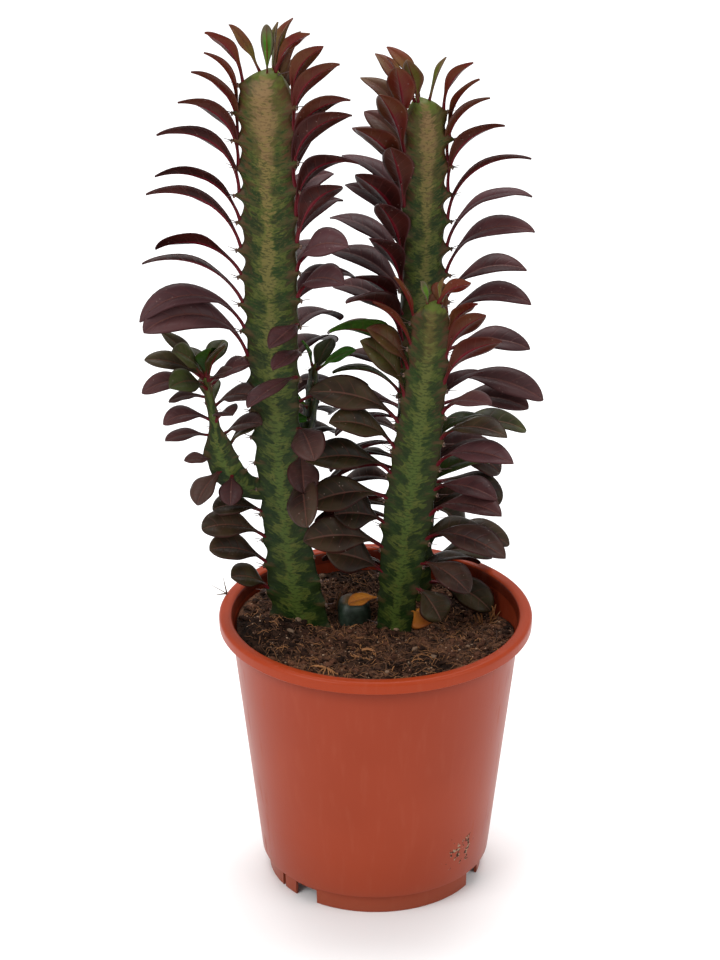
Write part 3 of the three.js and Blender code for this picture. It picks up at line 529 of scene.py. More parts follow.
# Leaf shapes
def rib_leaf(name, rib, k, s):
    stem, habit = STEMS[name], PLAIN_RIB | HABITS[name][rib]
    age = (1 - s) * stem["teeth"]
    old = min(1, max(0, (age - habit["flip"]) / TURNING_TEETH))
    here = stem_frame(stem, s)
    tooth = around_stem(here, RIB_TURN * rib, tooth_reach(stem, s) - LEAF_SINK)
    young, aged = habit["roll"]
    draws = [jitter(stem["seed"] + rib, k * 7 + n) for n in range(7)]
    leaf = dict(
        root=tooth + here[1] * LEAF_OVER_TOOTH,
        azimuth=stem["azimuth"] + RIB_TURN * rib + habit["turn"] + TURN_SPREAD * draws[0],
        sweep=habit["sweep"] + SWEEP_SPREAD * draws[1],
        lift=keyed(LEAF_LIFT, age) + LIFT_SPREAD * draws[2],
        arch=keyed(LEAF_ARCH, age) + habit["arch"] + ARCH_SPREAD * draws[3],
        roll=young + (aged - young) * old + ROLL_SPREAD * draws[4],
        bow=habit["bow"],
        length=habit["size"] * keyed(LEAF_LENGTH, age) * (1 + LENGTH_SPREAD * draws[5]),
        width=habit["breadth"] * keyed(LEAF_WIDTH, age) * (1 + WIDTH_SPREAD * draws[6]),
        age=age, low=max(1 - s, habit["olive"]), chance=0.5 + 0.5 * draws[4],
        green=habit["green"].get(k, 0), fading=habit["fading"].get(k, 0),
    )
    for part, listed in (("lift", habit["lifts"]), ("length", habit["lengths"])):
        if k < len(listed):
            leaf[part] = listed[k]
    return leaf | habit["posed"].get(k, {})


def free_leaf(root, azimuth, lift, arch, roll, length, width, green, **others):
    """A leaf that is placed by itself, not by the rule of its rib."""
    return dict(
        root=root, azimuth=azimuth, sweep=0, lift=lift, arch=arch, roll=roll, bow=1,
        length=length, width=width, green=green, fading=0.0, **others,
    )


def crown_leaves(name):
    centre, axis, _, _ = stem_frame(STEMS[name], 1.0)
    for i, (azimuth, length, width, lift, roll, green) in enumerate(CROWNS[name]):
        yield free_leaf(
            centre + level(azimuth) * CROWN_RADIUS - axis * CROWN_SINK,
            azimuth, lift, CROWN_ARCH, roll, length, width, green,
            age=0, low=0, chance=(0.3 + 0.37 * i) % 1, blunt=ROUNDED_BY if green > CROWN_BLUNT_GREEN else 0,
        )


def branch_leaves(branch_name):
    branch = BRANCHES[branch_name]
    for i, (s, azimuth, lift, arch, roll, length, width, green) in enumerate(BRANCH_LEAVES[branch_name]):
        radius = BRANCH_LEAF_ROOT * branch["reach"] * keyed(branch["girth"], s)
        yield free_leaf(
            stem_frame(branch, s)[0] + level(azimuth) * radius,
            azimuth, lift, arch, roll, length, width, green,
            age=BRANCH_LEAF_AGE, low=BRANCH_LEAF_LOW, chance=(0.2 + 0.31 * i) % 1,
        )


def leaves_of(name):
    for rib in range(RIBS):
        for k, s in enumerate(teeth_of(STEMS[name], rib)):
            if k not in HABITS[name][rib].get("bare", ()):
                yield rib_leaf(name, rib, k, s)
    yield from crown_leaves(name)
    for branch_name in BRANCHES if name == BRANCH_NODE else ():
        yield from branch_leaves(branch_name)


def leaf_line(leaf):
    """Points along the midrib with their sideways and upper-face directions, at equal steps."""
    u = np.linspace(0, 1, LEAF_STEPS + 1)
    turn = np.radians(leaf["azimuth"] + leaf["sweep"] * u)
    rise = np.radians(leaf["lift"] + leaf["arch"] * (0.5 - u ** leaf["bow"]))[:, None]
    roll = (np.radians(leaf["roll"]) * ease_in_out(u / ROLLED_BY))[:, None]
    out = np.stack([np.cos(turn), np.sin(turn), 0 * u], -1)
    side = np.stack([-np.sin(turn), np.cos(turn), 0 * u], -1)
    up = np.array([0.0, 0.0, 1.0])
    tangent = np.cos(rise) * out + np.sin(rise) * up
    upper = -np.sin(rise) * out + np.cos(rise) * up
    across = np.cos(roll) * side + np.sin(roll) * upper
    face = -np.sin(roll) * side + np.cos(roll) * upper
    steps = (tangent[1:] + tangent[:-1]) * leaf["length"] / LEAF_STEPS / 2
    points = leaf["root"] + np.vstack([np.zeros(3), np.cumsum(steps, axis=0)])
    return u, points, across, face


def leaf_share(u, age):
    """Half width as a share of its widest: a narrow stalk, a wide belly and an end rounder with age."""
    old = np.clip((age - ROUNDED_FROM) / (ROUNDED_BY - ROUNDED_FROM), 0, 1)
    inner, outer = (a + (b - a) * old for a, b in zip(POINTED_END, ROUND_END))
    low = LEAF_STALK + (1 - LEAF_STALK) * ease_in_out((u - STALK_END) / (LEAF_BELLY - STALK_END))
    end = (1 - np.clip((u - LEAF_BELLY) / (1 - LEAF_BELLY), 0, 1) ** inner) ** outer
    return np.where(u < LEAF_BELLY, low, end)


def leaf_samples(leaf):
    u, points, across, face = (a[::SAMPLE_EVERY] for a in leaf_line(leaf))
    half = (leaf["width"] / 2 * leaf_share(u, leaf["age"]))[:, None, None]
    v = np.linspace(-1, 1, SAMPLES_ACROSS)[None, :, None]
    fold = math.radians(LEAF_FOLD)
    spread = across[:, None] * v * math.cos(fold) + face[:, None] * np.abs(v) * math.sin(fold)
    return (points[:, None] + half * spread).reshape(-1, 3)


def clear_of_ground(samples):
    x, y, z = samples.T
    r = np.hypot(x, y)
    floor = np.where(r > RIM_INSIDE, RIM_CLEAR_HEIGHT, soil_top(x, y) + CLEAR_OF_SOIL)
    return bool(np.all((r > RIM_OUTSIDE) | (z > floor)))


def apart(samples, points, distance):
    low, high = samples.min(0) - distance, samples.max(0) + distance
    near = points[np.all((points > low) & (points < high), axis=1)]
    if not len(near):
        return True
    return bool(np.linalg.norm(samples[:, None] - near[None], axis=2).min() >= distance)


def bent_clear(leaf, stem_lines, taken):
    """The leaf as it stands, or turned or shortened until it is clear, with its samples."""
    for size, turn, lift in itertools.product(TRY_SIZES, TRY_TURNS, TRY_LIFTS):
        trial = dict(
            leaf, azimuth=leaf["azimuth"] + turn, lift=leaf["lift"] + lift,
            length=leaf["length"] * size, width=leaf["width"] * math.sqrt(size),
        )
        samples = leaf_samples(trial)
        if not clear_of_ground(samples):
            continue
        if not all(apart(samples, line, reach + CLEAR_OF_STEM) for line, reach in stem_lines):
            continue
        if apart(samples[SAMPLES_ACROSS * STALK_SAMPLES:], taken, CLEAR_OF_LEAF):
            return trial, samples
    return None


def settled_leaves():
    settled = {}
    taken = np.zeros((0, 3))
    steps = np.linspace(0, 1, AXIS_SAMPLES)
    for name in STEMS:
        others = [(axis_point(s["path"], steps), s["reach"]) for n, s in STEMS.items() if n != name]
        tried = [bent_clear(leaf, others, taken) for leaf in leaves_of(name)]
        placed = [found for found in tried if found]
        settled[name] = [leaf for leaf, _ in placed]
        taken = np.vstack([taken, *(samples for _, samples in placed)])
    return settled


# Meshes
def shown(made):
    bpy.context.scene.collection.objects.link(made)
    return made


def dress(piece, material, node):
    """Smooth faces, one material, the body and the CAD node that the piece stands for."""
    mesh = piece.data
    mesh.polygons.foreach_set("use_smooth", [True] * len(mesh.polygons))
    mesh.materials.clear()
    mesh.materials.append(material)
    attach(piece, "root")
    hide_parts(node)


class Gatherer:
    """Collects points, faces and point maps of many small bodies into one mesh, in millimetres."""

    def __init__(self):
        self.points, self.faces, self.maps, self.count = [], [], {}, 0

    def add(self, points, faces, **maps):
        points = np.asarray(points, float)
        self.points.append(points)
        for face in faces:
            corners = dict.fromkeys(int(i) + self.count for i in face)
            if len(corners) > 2:
                self.faces.append(list(corners))
        for map_name, values in maps.items():
            values = np.broadcast_to(np.asarray(values, float), (len(points), 3))
            self.maps.setdefault(map_name, []).append(values)
        self.count += len(points)

    def piece(self, name, material, slot, node):
        mesh = bpy.data.meshes.new(name)
        mesh.from_pydata((np.vstack(self.points) * MM).tolist(), [], self.faces)
        for map_name, values in self.maps.items():
            stored = mesh.attributes.new(map_name, "FLOAT_VECTOR", "POINT")
            stored.data.foreach_set("vector", np.vstack(values).astype(np.float32).ravel())
        mesh.update()
        dress(shown(bpy.data.objects.new(name, mesh)), material, node)


def ring_faces(rings, around):
    """Quads over rings of equal count, with a fan of triangles to one point at each end."""
    pairs = [(i, (i + 1) % around) for i in range(around)]
    faces = []
    for low in range(0, (rings - 1) * around, around):
        high = low + around
        faces += [[low + a, low + b, high + b, high + a] for a, b in pairs]
    first, top = rings * around, (rings - 1) * around
    faces += [[first, b, a] for a, b in pairs]
    return faces + [[first + 1, top + a, top + b] for a, b in pairs]


def add_tube(gather, path, radii, sides=5, **maps):
    """A round tube with pointed or closed ends along a path of points."""
    path = np.asarray(path, float)
    slope = unit(np.gradient(path, axis=0))
    side = unit(np.cross(slope, ASKEW))
    other = np.cross(slope, side)
    turn = full_turn(sides)
    ring = np.cos(turn)[None, :, None] * side[:, None] + np.sin(turn)[None, :, None] * other[:, None]
    skin = path[:, None] + np.asarray(radii, float)[:, None, None] * ring
    points = np.vstack([skin.reshape(-1, 3), path[0], path[-1]])
    gather.add(points, ring_faces(len(path), sides), **maps)


# Leaves
def add_leaf(gather, leaf):
    u_line, *line = leaf_line(leaf)
    u, v = np.array(LEAF_ROWS), np.array(LEAF_COLUMNS)
    rows, cols, inner = len(u), len(v), len(v) - 2
    points, across, face = (np.stack([np.interp(u, u_line, part) for part in each.T], -1) for each in line)
    across, face = unit(across), unit(face)
    points = points[0] + (points - points[0]) * FINE_LENGTH
    draw = leaf["chance"]
    half = leaf["width"] / 2 * np.maximum(leaf_share(u, max(leaf["age"], leaf.get("blunt", 0))), LEAF_LEAST)
    half = half[:, None]
    stalk = ease_in_out(u / LEAF_STALK_FADE)[:, None]
    fold = math.radians(LEAF_FOLD)
    from_rib = np.abs(v)
    # A wavy margin, cheeks beside the midrib, a thick stalk and a sunken midrib
    wave = LEAF_WAVE * np.sin(2 * math.pi * (u * (LEAF_WAVES + draw) + draw))[:, None] * from_rib**2 * stalk
    cheek = (LEAF_CHEEK + CHEEK_UNEVEN * draw) * half * np.sin(math.pi * from_rib) * stalk
    raised = half * from_rib * math.sin(fold) + cheek + wave
    thick = (LEAF_THICK - LEAF_THINNER * v**2) * stalk
    thick = thick + STALK_THICK * np.sqrt(1 - 0.9 * v**2) * (1 - stalk)
    rib = np.exp(-((v / MIDRIB_WIDTH) ** 2)) * (1 - MIDRIB_FADE * u[:, None]) * stalk
    base = points[:, None] + across[:, None] * (half * v)[..., None] * math.cos(fold)
    top = base + face[:, None] * (raised + thick / 2 - MIDRIB_SUNK * rib)[..., None]
    under = base + face[:, None] * (raised - thick / 2 - MIDRIB_RAISED * rib)[..., None]
    skin = np.vstack([top.reshape(-1, 3), under[:, 1:-1].reshape(-1, 3)])
    top_at = np.arange(rows * cols).reshape(rows, cols)
    low_at = rows * cols + np.arange(rows * inner).reshape(rows, inner)
    low_at = np.hstack([top_at[:, :1], low_at, top_at[:, -1:]])

    def sheet(at):
        return np.stack([at[:-1, :-1], at[:-1, 1:], at[1:, 1:], at[1:, :-1]], -1).reshape(-1, 4)

    ends = [sheet(np.stack([top_at[row], low_at[row]])) for row in (0, -1)]
    faces = np.vstack([sheet(top_at)[:, ::-1], sheet(low_at), ends[0], ends[1][:, ::-1]])
    face_side = np.where(from_rib > 0.99, LEAF_EDGE_SIDE, 1.0)
    place_top = np.stack([np.repeat(u, cols), np.tile(from_rib, rows), np.tile(face_side, rows)], -1)
    place_low = np.stack([np.repeat(u, inner), np.tile(from_rib[1:-1], rows), np.zeros(rows * inner)], -1)
    young = float(np.clip(1 - leaf["age"] / YOUNG_LOOK_TEETH, 0, 1))
    gather.add(
        skin, faces,
        place=np.vstack([place_top, place_low]),
        nature=(young, leaf["green"], draw),
        state=(leaf["fading"], leaf["low"], 0.0),
    )


# Stem skins
def rib_line(angle, crest, next_crest):
    """Radius at an angle between two crests, along straight flanks through the rib profile."""
    flank = [(a, np.full_like(crest, share)) for a, share in RIB_PROFILE]
    marks = [(0, crest), *flank, (RIB_TURN, next_crest)]
    for (a0, r0), (a1, r1) in zip(marks, marks[1:]):
        if a0 <= angle <= a1:
            total, part = math.radians(a1 - a0), math.radians(angle - a0)
            return r0 * r1 * math.sin(total) / (r0 * math.sin(part) + r1 * math.sin(total - part))
    raise ValueError(angle)


def add_stem_skin(gather, stem, buried=0):
    """place holds face middle to rib, streak and height, nature the tooth, the side and the teeth climbed."""
    rings = stem["teeth"] * (FINE_RINGS if stem["reach"] > SMALL_STEM else SMALL_RINGS)
    s = np.linspace(0, 1, rings + 1)
    centre, axis, out, across = stem_frame(stem, s)
    reach = tooth_reach(stem, s)
    depth = keyed(TOOTH_DEPTH, s) * stem["jag"]
    along = s * stem["teeth"]
    phases = [(along + stem["phase"][rib] / RINGS_PER_TOOTH) % 1 for rib in range(RIBS)]
    crests = []
    for rib, phase in enumerate(phases):
        valley = 1 - np.abs(2 * phase - 1) ** VALLEY_ROUNDING
        crests.append((1 - depth * valley) * uneven_rib(stem, rib, s))
    skin, places, natures = [], [], []
    for rib in range(RIBS):
        nxt = (rib + 1) % RIBS
        for angle in FINE_ANGLES:
            share = rib_line(angle, crests[rib], crests[nxt])
            blunt = 1 - RIB_BLUNT * math.exp(-((min(angle, RIB_TURN - angle) / RIB_BLUNT_WIDTH) ** 2))
            turn = math.radians(RIB_TURN * rib + angle)
            radius = (reach * share * blunt)[:, None]
            skin.append(centre + radius * (math.cos(turn) * out + math.sin(turn) * across))
            side = np.full_like(s, (angle - RIB_TURN / 2) / (RIB_TURN / 2))
            phase = phases[rib if side[0] < 0 else nxt]
            slanted = (phase + STREAK_SLANT * (1 - np.abs(side))) % 1
            places.append(np.stack([np.abs(side), np.abs(2 * slanted - 1), s], -1))
            natures.append(np.stack([np.abs(2 * phase - 1), side, along / TALL_TEETH], -1))
    skin, places, natures = (np.stack(each, 1) for each in (skin, places, natures))
    if buried:
        skin = np.concatenate([skin[:1] - axis[:1, None] * buried, skin])
        places = np.concatenate([places[:1], places])
        natures = np.concatenate([natures[:1], natures])
    top = centre[-1] + axis[-1] * TIP_RISE
    place, nature = (
        np.vstack([each.reshape(-1, 3), each[0].mean(0), each[-1].mean(0)]) for each in (places, natures)
    )
    points = np.vstack([skin.reshape(-1, 3), skin[0].mean(0), top])
    gather.add(points, ring_faces(*skin.shape[:2]), place=place, nature=nature)


# Spines
def add_spines(gather, stem):
    small = 1 if stem["reach"] > SMALL_STEM else SMALL_SPINES
    t = np.linspace(0, 1, SPINE_STEPS)
    radii = SPINE_RADIUS * small**0.5 * (1 - t) ** 0.75 + SPINE_POINT
    for rib in range(RIBS):
        for k, s in enumerate(teeth_of(stem, rib)):
            here = stem_frame(stem, s)
            reach = float(tooth_reach(stem, s) * (1 - RIB_BLUNT) * uneven_rib(stem, rib, s))
            chance = jitter(stem["seed"] * 3 + rib, k + 0.5)
            tooth = around_stem(here, RIB_TURN * rib, reach - SCAR_SINK * small)
            root = around_stem(here, RIB_TURN * rib, reach - SPINE_SINK)
            add_scar(gather, tooth - here[1] * SCAR_DROP * small, unit(tooth - here[0]), here[1], small)
            for spread in (-SPINE_SPREAD, SPINE_SPREAD):
                aim = around_stem(here, RIB_TURN * rib + spread * (1 + SPREAD_UNEVEN * chance), 1) - here[0]
                aim = unit(aim + here[1] * (SPINE_RISE + RISE_UNEVEN * chance))
                length = (SPINE_LENGTH * (1 + LENGTH_UNEVEN * chance) + SPINE_SINK) * small
                path = root + aim * (length * t)[:, None] + here[1] * (SPINE_BEND * small) * (t**2)[:, None]
                nature = np.stack([np.repeat(t, 5), np.full(5 * SPINE_STEPS, 0.5 + 0.5 * chance)], -1)
                nature = np.vstack([nature, [[0, 0.5], [1, 0.5]]])
                add_tube(gather, path, radii, 5, nature=np.pad(nature, ((0, 0), (0, 1))))


def add_scar(gather, centre, outward, axis, small):
    """The pale, corky oval that the spines and the leaf stalk spring from."""
    turn = full_turn(SCAR_SIDES)[:, None]
    across = np.cross(axis, outward)
    oval = SCAR_WIDTH / 2 * np.cos(turn) * across + SCAR_HEIGHT / 2 * np.sin(turn) * axis
    layers = [
        centre + small * share * oval + (SCAR_LAYER * j - SCAR_SEAT) * small * outward
        for j, share in enumerate(SCAR_LAYERS)
    ]
    points = np.vstack([*layers, centre - outward * small, centre + outward * small * SCAR_TOP])
    faces = [f[::-1] for f in ring_faces(len(layers), SCAR_SIDES)]
    gather.add(points, faces, nature=(0.0, 0.5, 1.0))


# Pot
def inner_wall_radius(z):
    share = (z - FOOT_HEIGHT) / (POT_HEIGHT - RIM_DROP - FOOT_HEIGHT)
    return WALL_FOOT_RADIUS - WALL + (WALL_TOP_RADIUS - WALL_FOOT_RADIUS) * share


def pot_profile():
    """Radius and height round the wall's section, from the middle of the foot to the floor's middle."""
    foot, top = FOOT_HEIGHT, POT_HEIGHT
    skirt = top - RIM_DROP
    floor_top = foot + FLOOR
    widening = WALL_TOP_RADIUS - WALL_FOOT_RADIUS
    wide, high = RIM_ROUNDING
    bends = [math.radians(turn) for turn in range(0, 91, 15)]
    runs = (
        (0, ((0, 0), (PAD_RADIUS, 0), (PAD_RADIUS + PAD_SLOPE, foot))),
        (FOOT_RADIUS - FOOT_WALL, ((0, foot), (0, 0.5), (0.4, 0))),
        (FOOT_RADIUS, ((-0.4, 0), (0, 0.5), (0.3, foot - 0.6), (0.8, foot - 0.1))),
        (WALL_FOOT_RADIUS, ((-0.8, foot), (-0.15, foot + 0.3), (0.1, foot + 0.9))),
        (WALL_FOOT_RADIUS, ((widening * up, foot + (skirt - foot) * up) for up in WALL_SHARES)),
        (WALL_TOP_RADIUS, ((0, skirt), (0.2, top - 2.4), (0.8, top - 2))),
        (RIM_RADIUS - RIM_SKIRT, ((0, top - 2), (0, skirt + 0.3), (0.3, skirt))),
        (RIM_RADIUS, ((-0.5, skirt), (-0.15, skirt + 0.35))),
        (RIM_RADIUS - wide, ((wide * math.cos(a), top - high + high * math.sin(a)) for a in bends)),
        (WALL_TOP_RADIUS, ((2.2, top - 0.05), (0.7, top - 0.4), (-0.3, top - 1.3), (-0.8, top - 2.8))),
        (0, ((inner_wall_radius(skirt), skirt), (inner_wall_radius(floor_top), floor_top))),
        (PAD_RADIUS, ((PAD_SLOPE + 0.8, floor_top), (0.8, FLOOR))),
        (0, ((0, FLOOR),)),
    )
    return [(radius + beyond, z) for radius, run in runs for beyond, z in run]


def turned_mesh(name, profile, segments):
    """A closed mesh turned about Z from a profile that starts and ends on the axis."""
    turn = full_turn(segments)
    skin = [circle(r, turn, z) for r, z in profile[1:-1]]
    points = np.vstack(skin + [[[0, 0, profile[0][1]]], [[0, 0, profile[-1][1]]]])
    mesh = bpy.data.meshes.new(name)
    mesh.from_pydata((points * MM).tolist(), [], ring_faces(len(skin), segments))
    mesh.update()
    return mesh


def block_mesh(name, blocks):
    """Boxes given as length, width, height, azimuth, radius and middle height."""
    made = bmesh.new()
    for length, width, height, azimuth, radius, z in blocks:
        c, s = math.cos(math.radians(azimuth)), math.sin(math.radians(azimuth))
        for corner in bmesh.ops.create_cube(made, size=1)["verts"]:
            x, y, h = corner.co
            x, y, h = Vector((x * length + radius, y * width, h * height + z))
            corner.co = Vector((x * c - y * s, x * s + y * c, h)) * MM
    mesh = bpy.data.meshes.new(name)
    made.to_mesh(mesh)
    made.free()
    return mesh


def make_pot(material):
    blocks = []
    for azimuth in NOTCH_AZIMUTHS:
        blocks.append((CUT_THROUGH, NOTCH_WIDTH, 2 * NOTCH_HEIGHT, azimuth, FOOT_RADIUS, 0))
        blocks.append((DRAIN_LENGTH, NOTCH_WIDTH, CUT_THROUGH, azimuth, DRAIN_RADIUS, FOOT_HEIGHT))
    for azimuth in SLIT_AZIMUTHS:
        blocks.append((CUT_THROUGH, SLIT_WIDTH, 2 * NOTCH_HEIGHT, azimuth, FOOT_RADIUS, 0))
    pot = shown(bpy.data.objects.new("nursery_pot", turned_mesh("nursery_pot", pot_profile(), POT_SEGMENTS)))
    cutter = shown(bpy.data.objects.new("pot_cutter", block_mesh("pot_cutter", blocks)))
    cut = pot.modifiers.new("openings", "BOOLEAN")
    cut.operation = "DIFFERENCE"
    cut.solver = "EXACT"
    cut.object = cutter
    bpy.context.view_layer.update()
    shaped = bpy.data.meshes.new_from_object(pot.evaluated_get(bpy.context.evaluated_depsgraph_get()))
    pot.modifiers.clear()
    pot.data = shaped
    bpy.data.objects.remove(cutter)
    dress(pot, material, "pot")
    shaped.set_sharp_from_angle(angle=math.radians(POT_SHARP_FROM))


# Soil
def soil_height(x, y):
    """The soil's surface with its clods, each a height, scale and seed, flatter against the wall."""
    edge = ease_in_out((SOIL_FLAT_FROM - math.hypot(x, y)) / SOIL_FLAT_OVER)
    rough = sum(
        high * noise.fractal(Vector((x * scale, y * scale, seed)), *CLOD_GRAIN)
        for high, scale, seed in CLODS
    )
    rough *= float(edge) * (1 - ROUGH_AT_WALL) + ROUGH_AT_WALL
    return float(soil_top(x, y)) + rough - CLODS_LOWERED


def make_soil(material):
    turn = full_turn(SOIL_AROUND)
    floor_top = FOOT_HEIGHT + FLOOR + GAP
    base = (
        (PAD_RADIUS - GAP_MORE, FLOOR + GAP), (PAD_RADIUS + PAD_SLOPE - GAP_MORE, floor_top),
        (inner_wall_radius(floor_top) - GAP, floor_top),
    )
    skin = [circle(radius, turn, z) for radius, z in base]
    for ring in range(SOIL_RINGS, 0, -1):
        radius = SOIL_RADIUS * ring / SOIL_RINGS
        for a in turn:
            x, y = radius * math.cos(a), radius * math.sin(a)
            z = soil_height(x, y)
            inside = min(1.0, (inner_wall_radius(z) - GAP - GAP_MORE) / radius)
            skin.append([(x * inside, y * inside, z)])
    points = np.vstack([*skin, [(0, 0, FLOOR + GAP)], [(0, 0, soil_height(0, 0))]])
    gather = Gatherer()
    gather.add(points, ring_faces(len(base) + SOIL_RINGS, SOIL_AROUND), nature=(0.35, 0.5, 0.0))
    gather.piece("soil_bed", material, "potting_soil", "soil")


def lump_shape(detail):
    made = bmesh.new()
    bmesh.ops.create_icosphere(made, subdivisions=detail, radius=1)
    points = np.array([v.co[:] for v in made.verts])
    faces = [[v.index for v in f.verts] for f in made.faces]
    made.free()
    return points, faces


def on_soil(draw, reach):
    while True:
        x, y = draw.uniform(-reach, reach), draw.uniform(-reach, reach)
        if math.hypot(x, y) < reach:
            return x, y


def drawn(draw, spans):
    """One draw from each span."""
    return [draw.uniform(*span) for span in spans]


def make_crumbs(material):
    """Clods, bark and grit lying on the bed. nature holds the kind, the draw and how pale it is."""
    draw = random.Random(21)
    gather = Gatherer()
    plain, fine = lump_shape(1), lump_shape(2)
    for i in range(CRUMBS):
        kind = draw.random()
        size = draw.uniform(*(SMALL_SIZES if kind < SMALL_CRUMBS else LARGE_SIZES))
        x, y = on_soil(draw, CRUMBS_WITHIN)
        shape, faces = fine if size > FINER_FROM else plain
        stretch = np.array(drawn(draw, CRUMB_STRETCHES))
        shift = Vector((i * LUMP_SHIFT, 0, 0))
        lumpy = np.array([1 + CRUMB_LUMPS * noise.noise(Vector(p * LUMP_SCALE) + shift) for p in shape])
        spin = draw.uniform(0, 2 * math.pi)
        c, s = math.cos(spin), math.sin(spin)
        bx, by, bz = (shape * lumpy[:, None] * stretch * size).T
        pale = draw.random() ** 3 if size < PALE_UNDER else draw.random() ** 6 * 0.7
        centre = np.array([x, y, soil_height(x, y) + size * CRUMB_RAISED])
        body = np.stack([bx * c - by * s, bx * s + by * c, bz], -1)
        gather.add(body + centre, faces, nature=(kind, draw.random(), pale))
    gather.piece("soil_crumbs", material, "potting_soil", "soil")


def lying_fibre(x, y, heading, length, curl, lift):
    """Points of a fibre that lies over the bed, rising a little in its middle."""
    points = []
    for t in np.linspace(0, 1, FIBRE_STEPS):
        ground = soil_height(x, y) if math.hypot(x, y) < SOIL_RADIUS else SOIL_LEVEL
        points.append((x, y, ground + FIBRE_OVER_SOIL + lift * math.sin(math.pi * t)))
        heading += curl / FIBRE_STEPS
        x += math.cos(heading) * length / FIBRE_STEPS
        y += math.sin(heading) * length / FIBRE_STEPS
    return [p for p in points if math.hypot(p[0], p[1]) < FIBRES_WITHIN]


def make_fibres(material):
    """Loose fibres, a ring of coir, a standing and a splayed tuft, and a twig."""
    draw = random.Random(5)
    gather = Gatherer()

    def lay(points, radius, tone):
        radii = np.full(len(points), radius)
        radii[[0, -1]] = radius * np.array(FIBRE_ENDS)
        add_tube(gather, points, radii, 4, nature=(tone, draw.random(), 0.0))

    for _ in range(FIBRES):
        x, y = on_soil(draw, FIBRES_START_WITHIN)
        length, heading, curl, lift = drawn(draw, FIBRE_SPANS)
        points = lying_fibre(x, y, heading, length, curl, lift)
        if len(points) > 3:
            lay(points, draw.uniform(*FIBRE_RADII), draw.random() ** 1.5)
    x, y = COIR_RING
    wide, deep = COIR_RING_HALVES
    for wider, start in COIR_STRANDS:
        ring = [
            (x + (wide + wider) * math.cos(a), y + (deep + wider) * math.sin(a),
             soil_height(x, y) + COIR_RING_RAISED + COIR_RING_WAVE * math.sin(2 * a))
            for a in np.linspace(start, start + COIR_RING_TURN, COIR_RING_STEPS)
        ]
        lay(ring, radius=0.36, tone=0.95)
    t = np.linspace(0, 1, 6)
    for _ in range(STANDING_SPRIGS):
        off_x, off_y, lean_x, lean_y, height = drawn(draw, STANDING_SPANS)
        x, y = STANDING_TUFT[0] + off_x, STANDING_TUFT[1] + off_y
        foot = soil_height(x, y) - SPRIG_SINK
        sprig = [(x + lean_x * a * a, y + lean_y * a * a, foot + height * a) for a in t]
        lay(sprig, radius=0.45, tone=1.0)
    for _ in range(SPLAYED_SPRIGS):
        heading, length, curl = drawn(draw, SPLAYED_SPANS)
        lay(lying_fibre(*SPLAYED_TUFT, heading, length, curl, SPLAYED_LIFT), radius=0.38, tone=1.0)
    x, y = TWIG
    foot = np.array([x, y, soil_height(x, y) - SPRIG_SINK])
    lay([foot + np.array(TWIG_STEP) * a for a in range(TWIG_STEPS)], radius=0.9, tone=0.7)
    gather.piece("soil_fibres", material, "potting_soil", "soil")


def make_dry_thorn(material):
    """A dry three-pointed thorn of a fallen leaf stalk, caught on the left of the rim."""
    gather = Gatherer()
    t = np.linspace(0, 1, 6)
    root = np.array(THORN_ROOT)
    for end, radius in THORN_POINTS:
        path = root + (np.array(end) - root) * t[:, None]
        add_tube(gather, path, radius * (1 - 0.8 * t), 5, nature=(0.15, 0.3, 0.0))
    gather.piece("dry_thorn", material, "potting_soil", "soil")


# Stub
def make_stub(material):
    x, y, top = STUB["x"], STUB["y"], STUB["top"]
    turn = full_turn(STUB_AROUND)
    lobed = STUB["radius"] + STUB["lobe"] * np.cos(3 * turn)
    skin = []
    for below, share in STUB_ROWS:
        z = top - below
        uneven = 1 + STUB_UNEVEN * np.sin(3 * turn + z * STUB_TWIST)
        skin.append(circle(lobed * share * uneven, turn, z, x, y))
    points = np.vstack([*skin, [(x, y, top - STUB_LENGTH)], [(x, y, top - STUB_FLAT_TOP)]])
    gather = Gatherer()
    gather.add(points, ring_faces(len(skin), STUB_AROUND), nature=(0.5, 0.5, 0.0))
    gather.piece("old_stub", material, "old_skin", "stub")


# Shader helpers
def shade(tone):
    """A colour as the eye reads it, 0 to 255, for a shader socket."""
    parts = [c / 255 for c in tone]
    return (*(c / 12.92 if c <= 0.04045 else ((c + 0.055) / 1.055) ** 2.4 for c in parts), 1.0)


class Value:
    """A number or colour that a coat's node puts out. Sums of it and steps add nodes to the coat."""

    def __init__(self, coat, socket):
        self.coat, self.socket = coat, socket

    def __add__(self, other):
        return self.coat.sum("ADD", self, other)

    def __mul__(self, other):
        return self.coat.sum("MULTIPLY", self, other)

    def __sub__(self, other):
        return self.coat.sum("SUBTRACT", self, other)

    def __rsub__(self, other):
        return self.coat.sum("SUBTRACT", other, self)

    def larger(self, other):
        return self.coat.sum("MAXIMUM", self, other)

    def step(self, low, high, start=0.0, end=1.0):
        """A smooth step of the number from low to high."""
        ends = {"Value": self, "From Min": low, "From Max": high, "To Min": start, "To Max": end}
        return self.coat.node("MapRange", ends, interpolation_type="SMOOTHSTEP")


